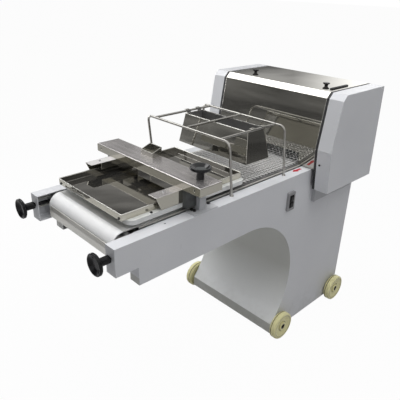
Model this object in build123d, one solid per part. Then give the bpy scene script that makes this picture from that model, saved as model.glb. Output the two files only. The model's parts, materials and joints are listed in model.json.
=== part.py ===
from build123d import *
import math
import os

# Dough moulder. Millimetres, +Z up.
# While building, x is 0 at the front end of the side arms and grows towards the head,
# y is 0 on the middle plane with the near side negative, and z is 0 on the floor.
# Saving moves everything so that the origin lies under the middle of the whole machine.

# Side panels and pedestal
panel_half_width = 255.0
panel_depth = 46.0
panel_sheet = 2.5
body_length = 1339.0
rail_top = 793.0
arm_height = 95.0
belly_start = 83.0
belly_depth = 159.0
arch_start = 598.0
arch_radius = 304.0
foot_start = 806.0
foot_bottom = 26.0
foot_lip = 50.0
shelf_depth = 49.0
shelf_drop = 88.0
liner_sheet = 2.0
liner_setback = 30.0
arm_plate_front = 100.0
rail_hole = 3.5
rail_hole_x = 209.0
rail_hole_inset = 30.0

# Vents and cable gland in the rear panel
vent_count = 7
vent_pitch = 26.0
vent_height = 8.0
vent_half = 90.0
vent_low = 420.0
gland_y = 120.0
gland_z = 120.0
gland_bore = 5.0
gland_wall = 4.0
gland_nut = 9.0
gland_nut_length = 10.0
gland_reach = 22.0

# Head
head_setback = 17.0
head_length = 350.0
head_rake = 17.0
head_rear_rake = 18.0
head_nose = 16.0
head_nose_rise = 92.0
head_drop = 84.0
head_above_rollers = 165.0
head_chamfer = 22.0
casing_depth = 62.0
casing_sheet = 2.0
casing_screw = 4.0
casing_screw_head = 2.5
casing_screw_inset = 14.0
casing_screw_rise = 30.0
trim_width = 8.0
trim_thickness = 11.0
head_plate = 12.0
head_plate_front_gap = 28.0
head_plate_rear_gap = 5.0
head_plate_below = 153.0
hood_sheet = 1.5
hood_plate_gap = 0.5
hood_mouth_rise = 57.0
hood_rail_gap = 3.0
hood_knob_back = 112.0
hood_knob_inset = 67.0
hood_knob_radius = 14.0
hood_knob_neck = 7.0
hood_knob_stand = 4.0
hood_knob_height = 13.0
hinge_back = 14.0
hinge_drop = 11.0
hinge_radius = 4.0
hinge_fit = 0.06
knuckle_wall = 4.0
knuckle_length = 60.0
knuckle_inset = 75.0
infeed_rise = 68.0
infeed_sheet = 2.0
tie_bar_radius = 9.0

# Conveyor
belt_rise = 4.0
belt_edge_gap = 11.0
belt_thickness = 3.0
belt_gap = 0.3
belt_turn_radius = 42.0
front_roller_x = 75.0
drive_setback = 124.0
roller_shaft = 10.0
drive_shaft = 12.5
running_fit = 0.06
still_fit = 0.05
block_half = 20.0
bed_edge_gap = 6.0
bed_sheet = 3.0
bed_end_gap = 11.0
cross_bar = 20.0
cross_bar_wall = 2.0
cross_bar_places = (190.0, 560.0, 930.0)
strip_width = 5.0
strip_end_gap = 2.0
crumb_gap = 7.0
crumb_end_gap = 18.0
crumb_sheet = 2.0
crumb_lip = 5.0
crumb_lip_rise = 8.0
crumb_wall_top = 5.0
crumb_wall_low = 29.0
crumb_floor = 45.0
crumb_floor_drop = 31.0
crumb_tab = 22.0

# Sheeting rollers and their drive
sheet_roller_radius = 36.0
sheet_roller_inset = 25.0
pair_setback = 75.0
lower_pair_rise = 53.0
pair_spacing = 92.0
upper_gap = 8.0
lower_gap = 3.0
gear_teeth = 20
gear_width = 18.0
gear_clear = 13.0
chain_clear = 8.0
chain_width = 9.0
chain_thickness = 5.0
main_sprocket = 30.0
lower_sprocket = 30.0
upper_sprocket = 36.0
shaft_end = 4.0
blade_gap = 1.0
blade_lean = 40.0
blade_width = 26.0
blade_fall = 8.0
blade_sheet = 2.0
motor_setback = 65.0
motor_z = 116.0
motor_radius = 68.0
motor_length = 230.0
motor_nose_gap = 17.0
motor_fan = 30.0
motor_flange = 35.0
motor_shaft = 9.0
motor_shaft_grip = 80.0
motor_foot = 30.0
motor_foot_half = 60.0
motor_foot_places = (30.0, 180.0)
terminal_half = 40.0
terminal_height = 45.0
pulley_radius = 28.0
pulley_inset = 33.0
pulley_width = 18.0
vee_belt_inset = 2.0
vee_belt_thickness = 3.0

# Press board carriage
board_front = 93.0
board_length = 519.0
board_edge_gap = 6.0
board_lift = 15.0
board_thickness = 16.0
board_corner = 24.0
tray_overhang = 17.0
tray_rear_margin = 6.0
tray_side_margin = 19.0
tray_sheet = 2.0
tray_height = 22.0
tray_notch = 120.0
tray_notch_start = 24.0
tray_notch_height = 9.0
ear_front = 194.0
ear_height = 47.0
ear_width = 40.0
ear_gusset = 26.0
ear_gusset_foot = 6.0
ear_rest_start = 40.0
guide_start = 108.0
guide_width = 19.0
guide_clear = 0.4
bridge_front = 299.0
bridge_width = 98.0
bridge_overhang = 32.0
bridge_height = 30.0
bridge_sheet = 3.0
bridge_bend = 2.5
bridge_hole = 4.0
bridge_hole_inset = 27.0
screw_x = 358.0
screw_inset = 30.0
screw_radius = 8.0
screw_foot = 24.0
post_ahead = 12.0
post_behind = 17.0
post_half_width = 13.0
post_height = 73.0
bracket_sheet = 4.0
bracket_front = 310.0
bracket_length = 108.0
bracket_inset = 2.0
bracket_inner_gap = 1.0
bolt_radius = 6.5
bolt_head = 5.0
bolt_front_inset = 21.0
bolt_rear_inset = 10.0
bolt_row = 7.5
pocket_front = 354.0
pocket_start = 17.0
pocket_length = 66.0
pocket_sheet = 2.0
pocket_front_height = 19.0
pocket_back_height = 34.0

# Hand knobs
knob_radius = 35.5
knob_flare = 13.0
knob_rim = 7.0
knob_round = 2.0
knob_stem_radius = 13.0
knob_lip = 5.0
knob_dish = 9.0
knob_dish_slope = 13.0
knob_seat_gap = 0.2
lift_neck = 20.0
tension_neck = 29.0
tension_reach = 56.0
tension_inset = 23.0
tension_screw_radius = 6.0

# Guard and hopper
guard_rod = 4.5
guard_front_foot = 521.0
guard_rear_foot = 825.0
guard_lean = 26.0
guard_inset = 35.0
guard_height = 204.0
guard_bend = 24.0
weld_gap = 0.2
side_bar_inset = 44.0
hopper_sheet = 1.5
hopper_rim_front = 648.0
hopper_rim_length = 95.0
hopper_side_gap = 8.0
hopper_bar_gap = 0.5
hopper_height = 119.5
hopper_flare = 18.0
hook_width = 20.0
hook_inset = 8.0
hook_overhang = 4.0

# Curling net
net_front = 632.0
net_edge_gap = 6.0
net_sheet = 1.6
net_columns = 14
net_rows = 12
net_wire = 4.0
net_climb = 41.0
net_bend = 12.0
net_bend_rise = 2.0
net_belt_gap = 0.3
net_rod_back = 41.0
net_rod_rise = 49.0
net_rod = 4.0
net_rod_gap = 0.2

# Wheels
wheel_radius = 65.0
wheel_width = 32.0
wheel_inset = 7.0
wheel_round = 6.0
tread_groove_start = 7.0
tread_groove = 5.0
tread_groove_depth = 2.5
wheel_rim = 9.0
wheel_dish = 6.0
hub_radius = 21.0
hub_slope = 9.0
hub_setback = 1.0
front_wheel_back = 44.0
rear_wheel_setback = 46.0
axle_radius = 8.0
axle_collar = 6.0
axle_collar_gap = 0.4
axle_end = 16.0

# Switch on the near side
switch_forward = 162.0
switch_drop = 103.0
switch_width = 45.0
switch_height = 80.0
switch_plate_stand = 9.0
switch_corner = 5.0
insert_width = 26.0
insert_height = 54.0
insert_stand = 11.0
insert_depth = 26.0
button_size = 20.0
button_gap = 0.4
button_stand = 3.0
button_depth = 9.0
button_well = 14.0
button_round = 2.0

whole_length = tension_reach + body_length + gland_reach
middle_x = whole_length / 2 - tension_reach
inner_face = panel_half_width - panel_depth
arm_plate_inner = inner_face - liner_sheet
bed_half = arm_plate_inner - bed_edge_gap
belt_half = bed_half - belt_edge_gap
board_half = inner_face - board_edge_gap
tray_half = board_half - tray_side_margin
bridge_half = panel_half_width + bridge_overhang
screw_y = panel_half_width - screw_inset
tension_y = panel_half_width - tension_inset
guard_half = panel_half_width - guard_inset
side_bar_y = guard_half - side_bar_inset
hopper_rim_half = side_bar_y - hopper_side_gap
net_half = belt_half - net_edge_gap
pulley_y = panel_half_width - pulley_inset
sheet_roller_half = panel_half_width - sheet_roller_inset
hood_knob_y = panel_half_width - hood_knob_inset
knuckle_y = panel_half_width - knuckle_inset
shelf_start = body_length - shelf_depth
shelf_height = rail_top - shelf_drop
front_wheel_x = foot_start + front_wheel_back
rear_wheel_x = body_length - rear_wheel_setback

belt_top = rail_top + belt_rise
axis_z = belt_top - belt_turn_radius
roller_radius = belt_turn_radius - belt_thickness - belt_gap
bed_top = belt_top - belt_thickness - belt_gap
drive_roller_x = body_length - drive_setback
motor_x = drive_roller_x - motor_setback
pair_middle_x = drive_roller_x - pair_setback
lower_pair_z = belt_top + lower_pair_rise
upper_pair_z = lower_pair_z + pair_spacing

plate_inner = panel_half_width
plate_outer = panel_half_width + head_plate
casing_inner = plate_outer + trim_thickness
casing_half_width = casing_inner + casing_depth
head_rear_bottom = body_length - head_setback
head_rear_top = head_rear_bottom - head_rear_rake
head_front_bottom = head_rear_bottom - head_length
head_front_top = head_front_bottom + head_rake
head_bottom = rail_top - head_drop
head_top = upper_pair_z + head_above_rollers
head_plate_front = head_front_bottom + head_plate_front_gap
head_plate_rear = head_rear_top - head_plate_rear_gap
head_plate_bottom = rail_top - head_plate_below
head_nose_x = head_front_bottom - head_nose
head_nose_z = rail_top + head_nose_rise
nose_lean = head_nose / (head_nose_z - head_bottom)
hinge_x = head_rear_top - hinge_back
hinge_z = head_top - hinge_drop
infeed_sill = upper_pair_z + infeed_rise
gear_y = plate_outer + gear_clear
chain_y = gear_y + gear_width + chain_clear

board_bottom = belt_top + board_lift
board_top = board_bottom + board_thickness
board_rear = board_front + board_length
tray_top = board_top + tray_height
ear_top = board_top + ear_height
bridge_top = ear_top + bridge_height
bridge_rear = bridge_front + bridge_width
post_top = rail_top + post_height

guard_top = rail_top + guard_height
hopper_rim_top = guard_top - guard_rod - hopper_bar_gap
hopper_mouth_bottom = hopper_rim_top - hopper_height
hopper_rim_rear = hopper_rim_front + hopper_rim_length
net_rod_x = head_front_bottom + net_rod_back
net_rod_z = belt_top + net_rod_rise
net_rise_start = net_rod_x - net_climb
switch_x = head_plate_front - switch_forward
switch_z = rail_top - switch_drop
motor_nose = motor_nose_gap - pulley_y
motor_front = motor_nose + motor_flange
motor_end = motor_front + motor_length


def save(name, shape):
    export_step(Pos(-middle_x, 0, 0) * shape, os.path.join("parts", name + ".step"))


def block(x0, x1, y0, y1, z0, z1):
    middle = Pos((x0 + x1) / 2, (y0 + y1) / 2, (z0 + z1) / 2)
    return middle * Box(x1 - x0, y1 - y0, z1 - z0)


def rod_x(y, z, radius, x0, x1):
    return Pos((x0 + x1) / 2, y, z) * Rot(0, 90, 0) * Cylinder(radius, x1 - x0)


def rod_y(x, z, radius, y0, y1):
    return Pos(x, (y0 + y1) / 2, z) * Rot(90, 0, 0) * Cylinder(radius, y1 - y0)


def rod_z(x, y, radius, z0, z1):
    return Pos(x, y, (z0 + z1) / 2) * Cylinder(radius, z1 - z0)


def side_slab(face, y0, y1):
    """Extrude a face drawn in x and z from y0 to y1."""
    return Pos(0, y1, 0) * extrude(Plane.XZ * face, y1 - y0)


def outline(points):
    return make_face(Polyline(*points, close=True))


def other_side(shape):
    return mirror(shape, about=Plane.XZ)


def group(shapes):
    return Compound(children=list(shapes))


def both_sides(shape):
    return group((shape, other_side(shape)))


# Side panels: pans folded from sheet, open towards the middle, with a smooth arch behind the arm
def side_face():
    arch_low = rail_top - belly_depth
    arch_side = arch_start + arch_radius
    arch_middle = arch_low - arch_radius
    lip_top = foot_bottom + foot_lip
    drop = arch_middle - lip_top
    draw = arch_side - foot_start
    foot_radius = (draw ** 2 + drop ** 2) / (2 * draw)
    half_turn = math.asin(drop / foot_radius) / 2
    diagonal = arch_radius * math.sqrt(0.5)
    upper_middle = (arch_start + diagonal, arch_middle + diagonal)
    lower_middle = (
        arch_side - foot_radius + foot_radius * math.cos(half_turn),
        arch_middle - foot_radius * math.sin(half_turn),
    )
    front = Polyline(
        (foot_start, lip_top),
        (foot_start, foot_bottom),
        (body_length, foot_bottom),
        (body_length, shelf_height),
        (shelf_start, shelf_height),
        (shelf_start, rail_top),
        (0, rail_top),
        (0, rail_top - arm_height),
        (belly_start, rail_top - arm_height),
        (belly_start, arch_low),
        (arch_start, arch_low),
    )
    upper = ThreePointArc((arch_start, arch_low), upper_middle, (arch_side, arch_middle))
    lower = ThreePointArc((arch_side, arch_middle), lower_middle, (foot_start, lip_top))
    return make_face([*front.edges(), upper, lower])


def side_panel():
    face = side_face()
    hollow = offset(face, amount=-panel_sheet, kind=Kind.INTERSECTION)
    skin_inside = -panel_half_width + panel_sheet
    pan = side_slab(face, -panel_half_width, -inner_face)
    pan -= side_slab(hollow, skin_inside, -inner_face)
    pan -= rod_x(-tension_y, axis_z, tension_screw_radius + running_fit, -1, panel_sheet + 1)
    for x in (front_wheel_x, rear_wheel_x):
        pan -= rod_y(x, wheel_radius, axle_radius + still_fit, -panel_half_width - 1, skin_inside + 1)
    pan -= rod_y(drive_roller_x, axis_z, drive_shaft + 3, -panel_half_width - 1, skin_inside + 1)
    return pan


def near_side_panel():
    cut = block(
        switch_x - insert_width / 2,
        switch_x + insert_width / 2,
        -panel_half_width - 1,
        -panel_half_width + panel_sheet + 1,
        switch_z - insert_height / 2,
        switch_z + insert_height / 2,
    )
    hole_y = -panel_half_width + rail_hole_inset
    hole = rod_z(rail_hole_x, hole_y, rail_hole, rail_top - panel_sheet - 1, rail_top + 1)
    return side_panel() - cut - hole


# Inner plates close the arms behind the roller blocks and carry the cross bars
def arm_plate():
    return block(
        arm_plate_front, head_plate_front, -inner_face, -arm_plate_inner,
        rail_top - arm_height, rail_top,
    )


# Underside: one sheet under the belly, round the arch and down the foot, open at its front end
def arch_liner():
    face = side_face()
    ring = face - offset(face, amount=-liner_sheet, kind=Kind.INTERSECTION)
    front = belly_start + liner_setback
    mask = outline((
        (front, rail_top - arm_height),
        (arch_start + arch_radius + 2, rail_top - arm_height),
        (arch_start + arch_radius + 2, foot_bottom - 1),
        (front, foot_bottom - 1),
    ))
    return side_slab(ring & mask, -inner_face, inner_face)


def base_plate():
    start = arch_start + arch_radius + 2
    return block(
        start, body_length - panel_sheet, -inner_face, inner_face,
        foot_bottom, foot_bottom + panel_sheet,
    )


def rear_panel():
    inside = body_length - panel_sheet
    panel = block(inside, body_length, -inner_face, inner_face, foot_bottom, shelf_height)
    panel += block(
        shelf_start, inside, -inner_face, inner_face, shelf_height - panel_sheet, shelf_height
    )
    for row in range(vent_count):
        z = vent_low + row * vent_pitch
        panel -= block(inside - 1, body_length + 1, -vent_half, vent_half, z, z + vent_height)
    panel -= rod_x(
        gland_y, gland_z, gland_bore + gland_wall + still_fit, inside - 1, body_length + 1
    )
    return panel


def cable_gland():
    inside = body_length - panel_sheet
    back = inside - gland_nut_length
    nut_end = body_length + gland_nut_length
    outer = gland_bore + gland_wall
    body = rod_x(gland_y, gland_z, outer, back, body_length)
    nut = extrude(RegularPolygon(gland_bore + gland_nut, 6), gland_nut_length)
    body += Pos(body_length, gland_y, gland_z) * Rot(0, 90, 0) * nut
    body += rod_x(gland_y, gland_z, outer + 2, nut_end, body_length + gland_reach)
    return body - rod_x(gland_y, gland_z, gland_bore, back - 1, body_length + gland_reach + 1)


# Head
def lower_front_x(z):
    """Where the head's front lies at a height below its bend."""
    return head_front_bottom - nose_lean * (z - head_bottom)


def head_points():
    return (
        (head_front_bottom, head_bottom),
        (head_nose_x, head_nose_z),
        (head_front_top, head_top - head_chamfer),
        (head_front_top + head_chamfer, head_top),
        (head_rear_top, head_top),
        (head_rear_bottom, head_bottom),
    )


def casing():
    face = outline(head_points())
    inside = offset(face, amount=-casing_sheet, kind=Kind.INTERSECTION)
    shell = side_slab(face, -casing_half_width, -casing_inner)
    return shell - side_slab(inside, -casing_half_width + casing_sheet, -casing_inner)


def edge_trim():
    face = outline(head_points())
    inside = offset(face, amount=-trim_width, kind=Kind.INTERSECTION)
    return side_slab(face - inside, -casing_inner, -plate_outer)


def shaft_places():
    spread_upper = sheet_roller_radius + upper_gap / 2
    spread_lower = sheet_roller_radius + lower_gap / 2
    return {
        "upper_front": (pair_middle_x - spread_upper, upper_pair_z),
        "upper_rear": (pair_middle_x + spread_upper, upper_pair_z),
        "lower_front": (pair_middle_x - spread_lower, lower_pair_z),
        "lower_rear": (pair_middle_x + spread_lower, lower_pair_z),
    }


def plate_outline():
    hood_under = head_top - hood_sheet - 0.2
    return outline((
        (head_plate_front, head_plate_bottom),
        (head_plate_front + 4, head_top - head_chamfer),
        (head_front_top + head_chamfer + 3, hood_under),
        (hinge_x - 6, hood_under),
        (hinge_x + 6, hinge_z),
        (hinge_x + 6, hinge_z - 22),
        (head_plate_rear, hinge_z - 26),
        (head_plate_rear, head_plate_bottom),
    ))


def head_side_plate():
    plate = side_slab(plate_outline(), -plate_outer, -plate_inner)
    through = (-plate_outer - 1, -plate_inner + 1)
    for x, z in shaft_places().values():
        plate -= rod_y(x, z, drive_shaft + running_fit, *through)
    plate -= rod_y(drive_roller_x, axis_z, drive_shaft + running_fit, *through)
    plate -= rod_y(hinge_x, hinge_z, hinge_radius + still_fit, *through)
    plate -= rod_y(net_rod_x, net_rod_z, net_rod + still_fit, *through)
    return plate


def hinge_pin():
    return rod_y(hinge_x, hinge_z, hinge_radius, -plate_outer, plate_outer)


def rear_cover():
    inside = head_plate_rear - infeed_sheet
    low = rail_top + hood_rail_gap
    return block(inside, head_plate_rear, -plate_inner, plate_inner, low, infeed_sill)


def infeed_chute():
    low_x = pair_middle_x + sheet_roller_radius + 4
    low_z = upper_pair_z + sheet_roller_radius + 8
    points = (
        (head_plate_rear - infeed_sheet, infeed_sill),
        (head_plate_rear - infeed_sheet, infeed_sill - infeed_sheet),
        (low_x, low_z),
        (low_x, low_z + infeed_sheet),
    )
    return side_slab(outline(points), -plate_inner, plate_inner)


def tie_bars():
    front = (head_front_top + head_chamfer + tie_bar_radius + 5, head_top - 47)
    rear = (head_plate_rear - tie_bar_radius - 15, lower_pair_z + 10)
    bars = []
    for x, z in (front, rear):
        bars.append(rod_y(x, z, tie_bar_radius, -plate_inner, plate_inner))
    return group(bars)


def hood():
    low = rail_top + hood_rail_gap
    low_x = lower_front_x(low)
    inner_turn = hood_sheet * math.tan(math.radians(22.5))
    points = (
        (low_x, low),
        (head_nose_x, head_nose_z),
        (head_front_top, head_top - head_chamfer),
        (head_front_top + head_chamfer, head_top),
        (head_rear_top, head_top),
        (head_rear_top, head_top - hood_sheet),
        (head_front_top + head_chamfer + inner_turn, head_top - hood_sheet),
        (head_front_top + hood_sheet, head_top - head_chamfer - inner_turn),
        (head_nose_x + hood_sheet, head_nose_z),
        (low_x + hood_sheet, low),
    )
    half = plate_outer - hood_plate_gap
    mouth_top = rail_top + hood_mouth_rise
    shell = side_slab(outline(points), -half, half)
    shell -= block(
        head_nose_x - 1, low_x + head_rake, -belt_half, belt_half, low - 1, mouth_top
    )
    knuckle = hinge_radius + knuckle_wall
    for y in (-knuckle_y, knuckle_y):
        y0 = y - knuckle_length / 2
        y1 = y + knuckle_length / 2
        shell += rod_y(hinge_x, hinge_z, knuckle, y0, y1)
        shell += block(
            hinge_x - knuckle_wall, hinge_x + knuckle_wall, y0, y1,
            hinge_z + hinge_radius + 1, head_top - hood_sheet / 2,
        )
    bore = rod_y(hinge_x, hinge_z, hinge_radius + hinge_fit, -half - 1, half + 1)
    return shell - bore


def hood_knobs():
    profile = outline((
        (0, 0),
        (hood_knob_neck, 0),
        (hood_knob_neck, hood_knob_stand),
        (hood_knob_radius, hood_knob_height - 4),
        (hood_knob_radius, hood_knob_height - 1),
        (hood_knob_radius - 2, hood_knob_height),
        (0, hood_knob_height),
    ))
    knob = revolve(Plane.XZ * profile, Axis.Z)
    x = head_front_top + hood_knob_back
    return group(Pos(x, y, head_top) * knob for y in (-hood_knob_y, hood_knob_y))


# Conveyor
def stadium(radius):
    run = drive_roller_x - front_roller_x
    middle = (front_roller_x + drive_roller_x) / 2
    bar = Pos(middle, axis_z) * Rectangle(run, 2 * radius)
    ends = Pos(front_roller_x, axis_z) * Circle(radius) + Pos(drive_roller_x, axis_z) * Circle(radius)
    return bar + ends


def conveyor_belt():
    loop = stadium(belt_turn_radius) - stadium(belt_turn_radius - belt_thickness)
    return side_slab(loop, -belt_half, belt_half)


def belt_bed():
    front = front_roller_x + belt_turn_radius + bed_end_gap
    rear = drive_roller_x - belt_turn_radius - 2 * bed_end_gap
    return block(front, rear, -bed_half, bed_half, bed_top - bed_sheet, bed_top)


def cross_bars():
    top = bed_top - bed_sheet
    bars = []
    for x in cross_bar_places:
        outer = block(
            x, x + cross_bar, -arm_plate_inner, arm_plate_inner, top - cross_bar, top
        )
        hollow = block(
            x + cross_bar_wall, x + cross_bar - cross_bar_wall, -arm_plate_inner, arm_plate_inner,
            top - cross_bar + cross_bar_wall, top - cross_bar_wall,
        )
        bars.append(outer - hollow)
    return group(bars)


def edge_strip():
    front = front_roller_x + belt_turn_radius + bed_end_gap
    rear = lower_front_x(belt_top) - strip_end_gap
    return block(front, rear, -bed_half, -bed_half + strip_width, bed_top, belt_top)


def front_roller():
    drum = rod_y(front_roller_x, axis_z, roller_radius, -belt_half, belt_half)
    reach = panel_half_width - panel_sheet - 8
    return drum + rod_y(front_roller_x, axis_z, roller_shaft, -reach, reach)


def roller_block():
    body = block(
        front_roller_x - block_half, front_roller_x + block_half,
        -panel_half_width + panel_sheet, -inner_face, axis_z - block_half, axis_z + block_half,
    )
    body -= rod_y(
        front_roller_x, axis_z, roller_shaft + running_fit,
        -panel_half_width, -inner_face + 1,
    )
    return body


def drive_roller():
    drum = rod_y(drive_roller_x, axis_z, roller_radius, -belt_half, belt_half)
    reach = chain_y + chain_width + shaft_end
    drum += rod_y(drive_roller_x, axis_z, drive_shaft, -reach, plate_outer)
    drum += rod_y(drive_roller_x, axis_z, pulley_radius, -pulley_y - pulley_width, -pulley_y)
    drum += rod_y(drive_roller_x, axis_z, main_sprocket, -chain_y - chain_width, -chain_y)
    return drum


def scraper_tray():
    front = front_roller_x - belt_turn_radius - crumb_gap - crumb_sheet
    lip_x = front + crumb_lip
    lip_z = axis_z + crumb_lip_rise
    bend_z = axis_z - crumb_wall_top
    low_z = axis_z - crumb_wall_low
    floor_x = front + crumb_floor
    floor_z = axis_z - block_half - crumb_floor_drop
    points = (
        (lip_x, lip_z),
        (front, bend_z),
        (front, low_z),
        (floor_x, floor_z),
        (floor_x, floor_z + crumb_sheet),
        (front + crumb_sheet, low_z + crumb_sheet),
        (front + crumb_sheet, bend_z),
        (lip_x + crumb_sheet, lip_z),
    )
    half = belt_half - crumb_end_gap
    shape = side_slab(outline(points), -half, half)
    seat = rail_top - arm_height + panel_sheet
    for side in (-1, 1):
        inner = side * (half - crumb_sheet)
        outer = side * (arm_plate_inner + crumb_tab)
        shape += block(
            floor_x - 2 * crumb_sheet, floor_x, min(inner, outer), max(inner, outer),
            seat, floor_z + crumb_sheet,
        )
    return shape


# Sheeting rollers, their gears and the chain in the near casing
def gear_face(pitch_radius, turned):
    module = 2 * pitch_radius / gear_teeth
    step = 2 * math.pi / gear_teeth
    root = pitch_radius - 1.1 * module
    tip = pitch_radius + 0.75 * module
    points = []
    for tooth in range(gear_teeth):
        middle = tooth * step + turned
        for radius, share in ((root, -0.26), (tip, -0.09), (tip, 0.09), (root, 0.26)):
            angle = middle + share * step
            points.append((radius * math.cos(angle), radius * math.sin(angle)))
    return outline(points)


def sheet_roller(name, pitch_radius, sprocket, turned):
    x, z = shaft_places()[name]
    shape = rod_y(x, z, sheet_roller_radius, -sheet_roller_half, sheet_roller_half)
    reach = chain_y + chain_width + shaft_end
    shape += rod_y(x, z, drive_shaft, -reach, plate_outer)
    gear = side_slab(gear_face(pitch_radius, turned), -gear_y - gear_width, -gear_y)
    shape += Pos(x, 0, z) * gear
    if sprocket:
        shape += rod_y(x, z, sprocket, -chain_y - chain_width, -chain_y)
    return shape


def loop_band(places, thickness, y0, y1):
    outer = []
    inner = []
    for x, z, radius in places:
        outer.append(Pos(x, z) * Edge.make_circle(radius + belt_gap + thickness))
        inner.append(Pos(x, z) * Edge.make_circle(radius + belt_gap))
    return side_slab(make_hull(outer) - make_hull(inner), y0, y1)


def drive_chain():
    places = shaft_places()
    lower_x, lower_z = places["lower_rear"]
    upper_x, upper_z = places["upper_rear"]
    wheels = (
        (drive_roller_x, axis_z, main_sprocket),
        (lower_x, lower_z, lower_sprocket),
        (upper_x, upper_z, upper_sprocket),
    )
    return loop_band(wheels, chain_thickness, -chain_y - chain_width, -chain_y)


def vee_belt():
    wheels = ((motor_x, motor_z, pulley_radius), (drive_roller_x, axis_z, pulley_radius))
    inner = pulley_y + vee_belt_inset
    outer = pulley_y + pulley_width - vee_belt_inset
    return loop_band(wheels, vee_belt_thickness, -outer, -inner)


def scraper_blades(pair_z, gap):
    blades = []
    reach = sheet_roller_radius + blade_gap
    spread = sheet_roller_radius + gap / 2
    lean = math.radians(blade_lean)
    for side in (-1, 1):
        x = pair_middle_x + side * spread
        start = (x + side * reach * math.sin(lean), pair_z - reach * math.cos(lean))
        end = (start[0] + side * blade_width, start[1] - blade_fall)
        below_end = (end[0], end[1] - blade_sheet)
        below_start = (start[0], start[1] - blade_sheet)
        face = outline((start, end, below_end, below_start))
        blades.append(side_slab(face, -plate_inner, plate_inner))
    return blades


def motor():
    body = rod_y(motor_x, motor_z, motor_radius, motor_front, motor_end)
    body += rod_y(motor_x, motor_z, motor_radius - 8, motor_end, motor_end + motor_fan)
    body += rod_y(motor_x, motor_z, motor_radius - 14, motor_nose, motor_front)
    floor = foot_bottom + panel_sheet
    for place in motor_foot_places:
        y = motor_front + place
        body += block(
            motor_x - motor_foot_half, motor_x + motor_foot_half, y, y + motor_foot,
            floor, motor_z - motor_foot,
        )
    box_low = motor_z + motor_radius - 18
    body += block(
        motor_x - terminal_half, motor_x + terminal_half,
        motor_front + motor_length / 2 - terminal_half, motor_front + motor_length / 2 + terminal_half,
        box_low, box_low + terminal_height,
    )
    end = motor_nose + motor_shaft_grip + 5
    return body - rod_y(motor_x, motor_z, motor_shaft + running_fit, motor_nose - 1, end)


def motor_pulley():
    outer = -pulley_y - pulley_width
    end = motor_nose + motor_shaft_grip
    disc = rod_y(motor_x, motor_z, pulley_radius, outer, -pulley_y)
    return disc + rod_y(motor_x, motor_z, motor_shaft, outer, end)


# Press board carriage: board, tray, ears, guide blocks and bridge rise and fall together
def press_board():
    plate = block(
        board_front, board_rear, -board_half, board_half, board_bottom, board_top
    )
    return fillet(plate.edges().filter_by(Axis.Z), board_corner)


def tray():
    front = board_front - tray_overhang
    rear = board_rear - tray_rear_margin
    half = tray_half
    outside = block(front, rear, -half, half, board_top, tray_top)
    inside = block(
        front + tray_sheet, rear - tray_sheet, -half + tray_sheet, half - tray_sheet,
        board_top + tray_sheet, tray_top + 1,
    )
    notch = block(
        front - 1, front + tray_sheet + 1, tray_notch_start, tray_notch_start + tray_notch,
        board_top, board_top + tray_notch_height,
    )
    return outside - inside - notch


def ear():
    wall_front = ear_front + ear_gusset
    outer = -board_half
    inner = -board_half + ear_width
    under = ear_top - tray_sheet
    wall = block(wall_front, bridge_rear, outer, outer + tray_sheet, board_top, ear_top)
    flange = block(ear_front, bridge_rear, outer, inner, under, ear_top)
    gusset = outline((
        (ear_front, under),
        (wall_front, under),
        (wall_front, board_top),
        (wall_front - ear_gusset_foot, board_top),
    ))
    shape = wall + flange + side_slab(gusset, outer, outer + tray_sheet)
    shape += block(
        ear_front + ear_rest_start, bridge_rear, inner - tray_sheet, inner, tray_top, ear_top
    )
    return shape


def guide_block():
    """A slide block in front of the post, carried by the board and the ear."""
    return block(
        ear_front + guide_start, screw_x - post_ahead - guide_clear,
        -board_half - guide_width, -board_half, board_bottom, ear_top,
    )


def bridge():
    shell = block(bridge_front, bridge_rear, -bridge_half, bridge_half, ear_top, bridge_top)
    shell = fillet(shell.edges().group_by(Axis.Z)[-1], bridge_bend)
    shell -= block(
        bridge_front + bridge_sheet, bridge_rear - bridge_sheet,
        -bridge_half + bridge_sheet, bridge_half - bridge_sheet,
        ear_top - 1, bridge_top - bridge_sheet,
    )
    shell -= rod_z(screw_x, -screw_y, screw_radius + running_fit, ear_top, bridge_top + 1)
    hole_y = bridge_half - bridge_hole_inset
    hole_z = ear_top + bridge_height / 2
    for y in (-hole_y, hole_y):
        shell -= rod_x(y, hole_z, bridge_hole, bridge_front - 1, bridge_front + bridge_sheet + 1)
    return shell


def pocket_walls(inset, floor):
    """A solid with a sloping top, drawn in by the inset on all four sides."""
    front = pocket_front + inset
    rear = bridge_rear - inset
    slope = (pocket_back_height - pocket_front_height) / (bridge_rear - pocket_front)
    lift = 2 * inset
    face = outline((
        (front, floor),
        (rear, floor),
        (rear, bridge_top + pocket_back_height - slope * inset + lift),
        (front, bridge_top + pocket_front_height + slope * inset + lift),
    ))
    return side_slab(face, pocket_start + inset, pocket_start + pocket_length - inset)


def bridge_pocket():
    """A small open pocket of folded sheet on the rear edge of the bridge."""
    return pocket_walls(0, bridge_top) - pocket_walls(pocket_sheet, bridge_top + pocket_sheet)


def rail_bracket():
    top = rail_top + bracket_sheet
    plate = block(
        bracket_front, bracket_front + bracket_length,
        -panel_half_width + bracket_inset, -inner_face - bracket_inner_gap, rail_top, top,
    )
    post = block(
        screw_x - post_ahead, screw_x + post_behind,
        -screw_y - post_half_width, -screw_y + post_half_width, top, post_top,
    )
    bore = rod_z(screw_x, -screw_y, screw_radius + running_fit, top, post_top + 1)
    return plate + post - bore


def lift_screw():
    top = bridge_top + knob_socket(lift_neck)
    return rod_z(screw_x, -screw_y, screw_radius, rail_top + screw_foot, top)


def guide_pin():
    return rod_z(screw_x, screw_y, screw_radius, rail_top + screw_foot, bridge_top - bridge_sheet)


def knob_height(neck):
    return neck + knob_flare + knob_rim + knob_round


def knob_socket(neck):
    """How far the screw reaches into the knob."""
    return neck + knob_flare / 2


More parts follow.
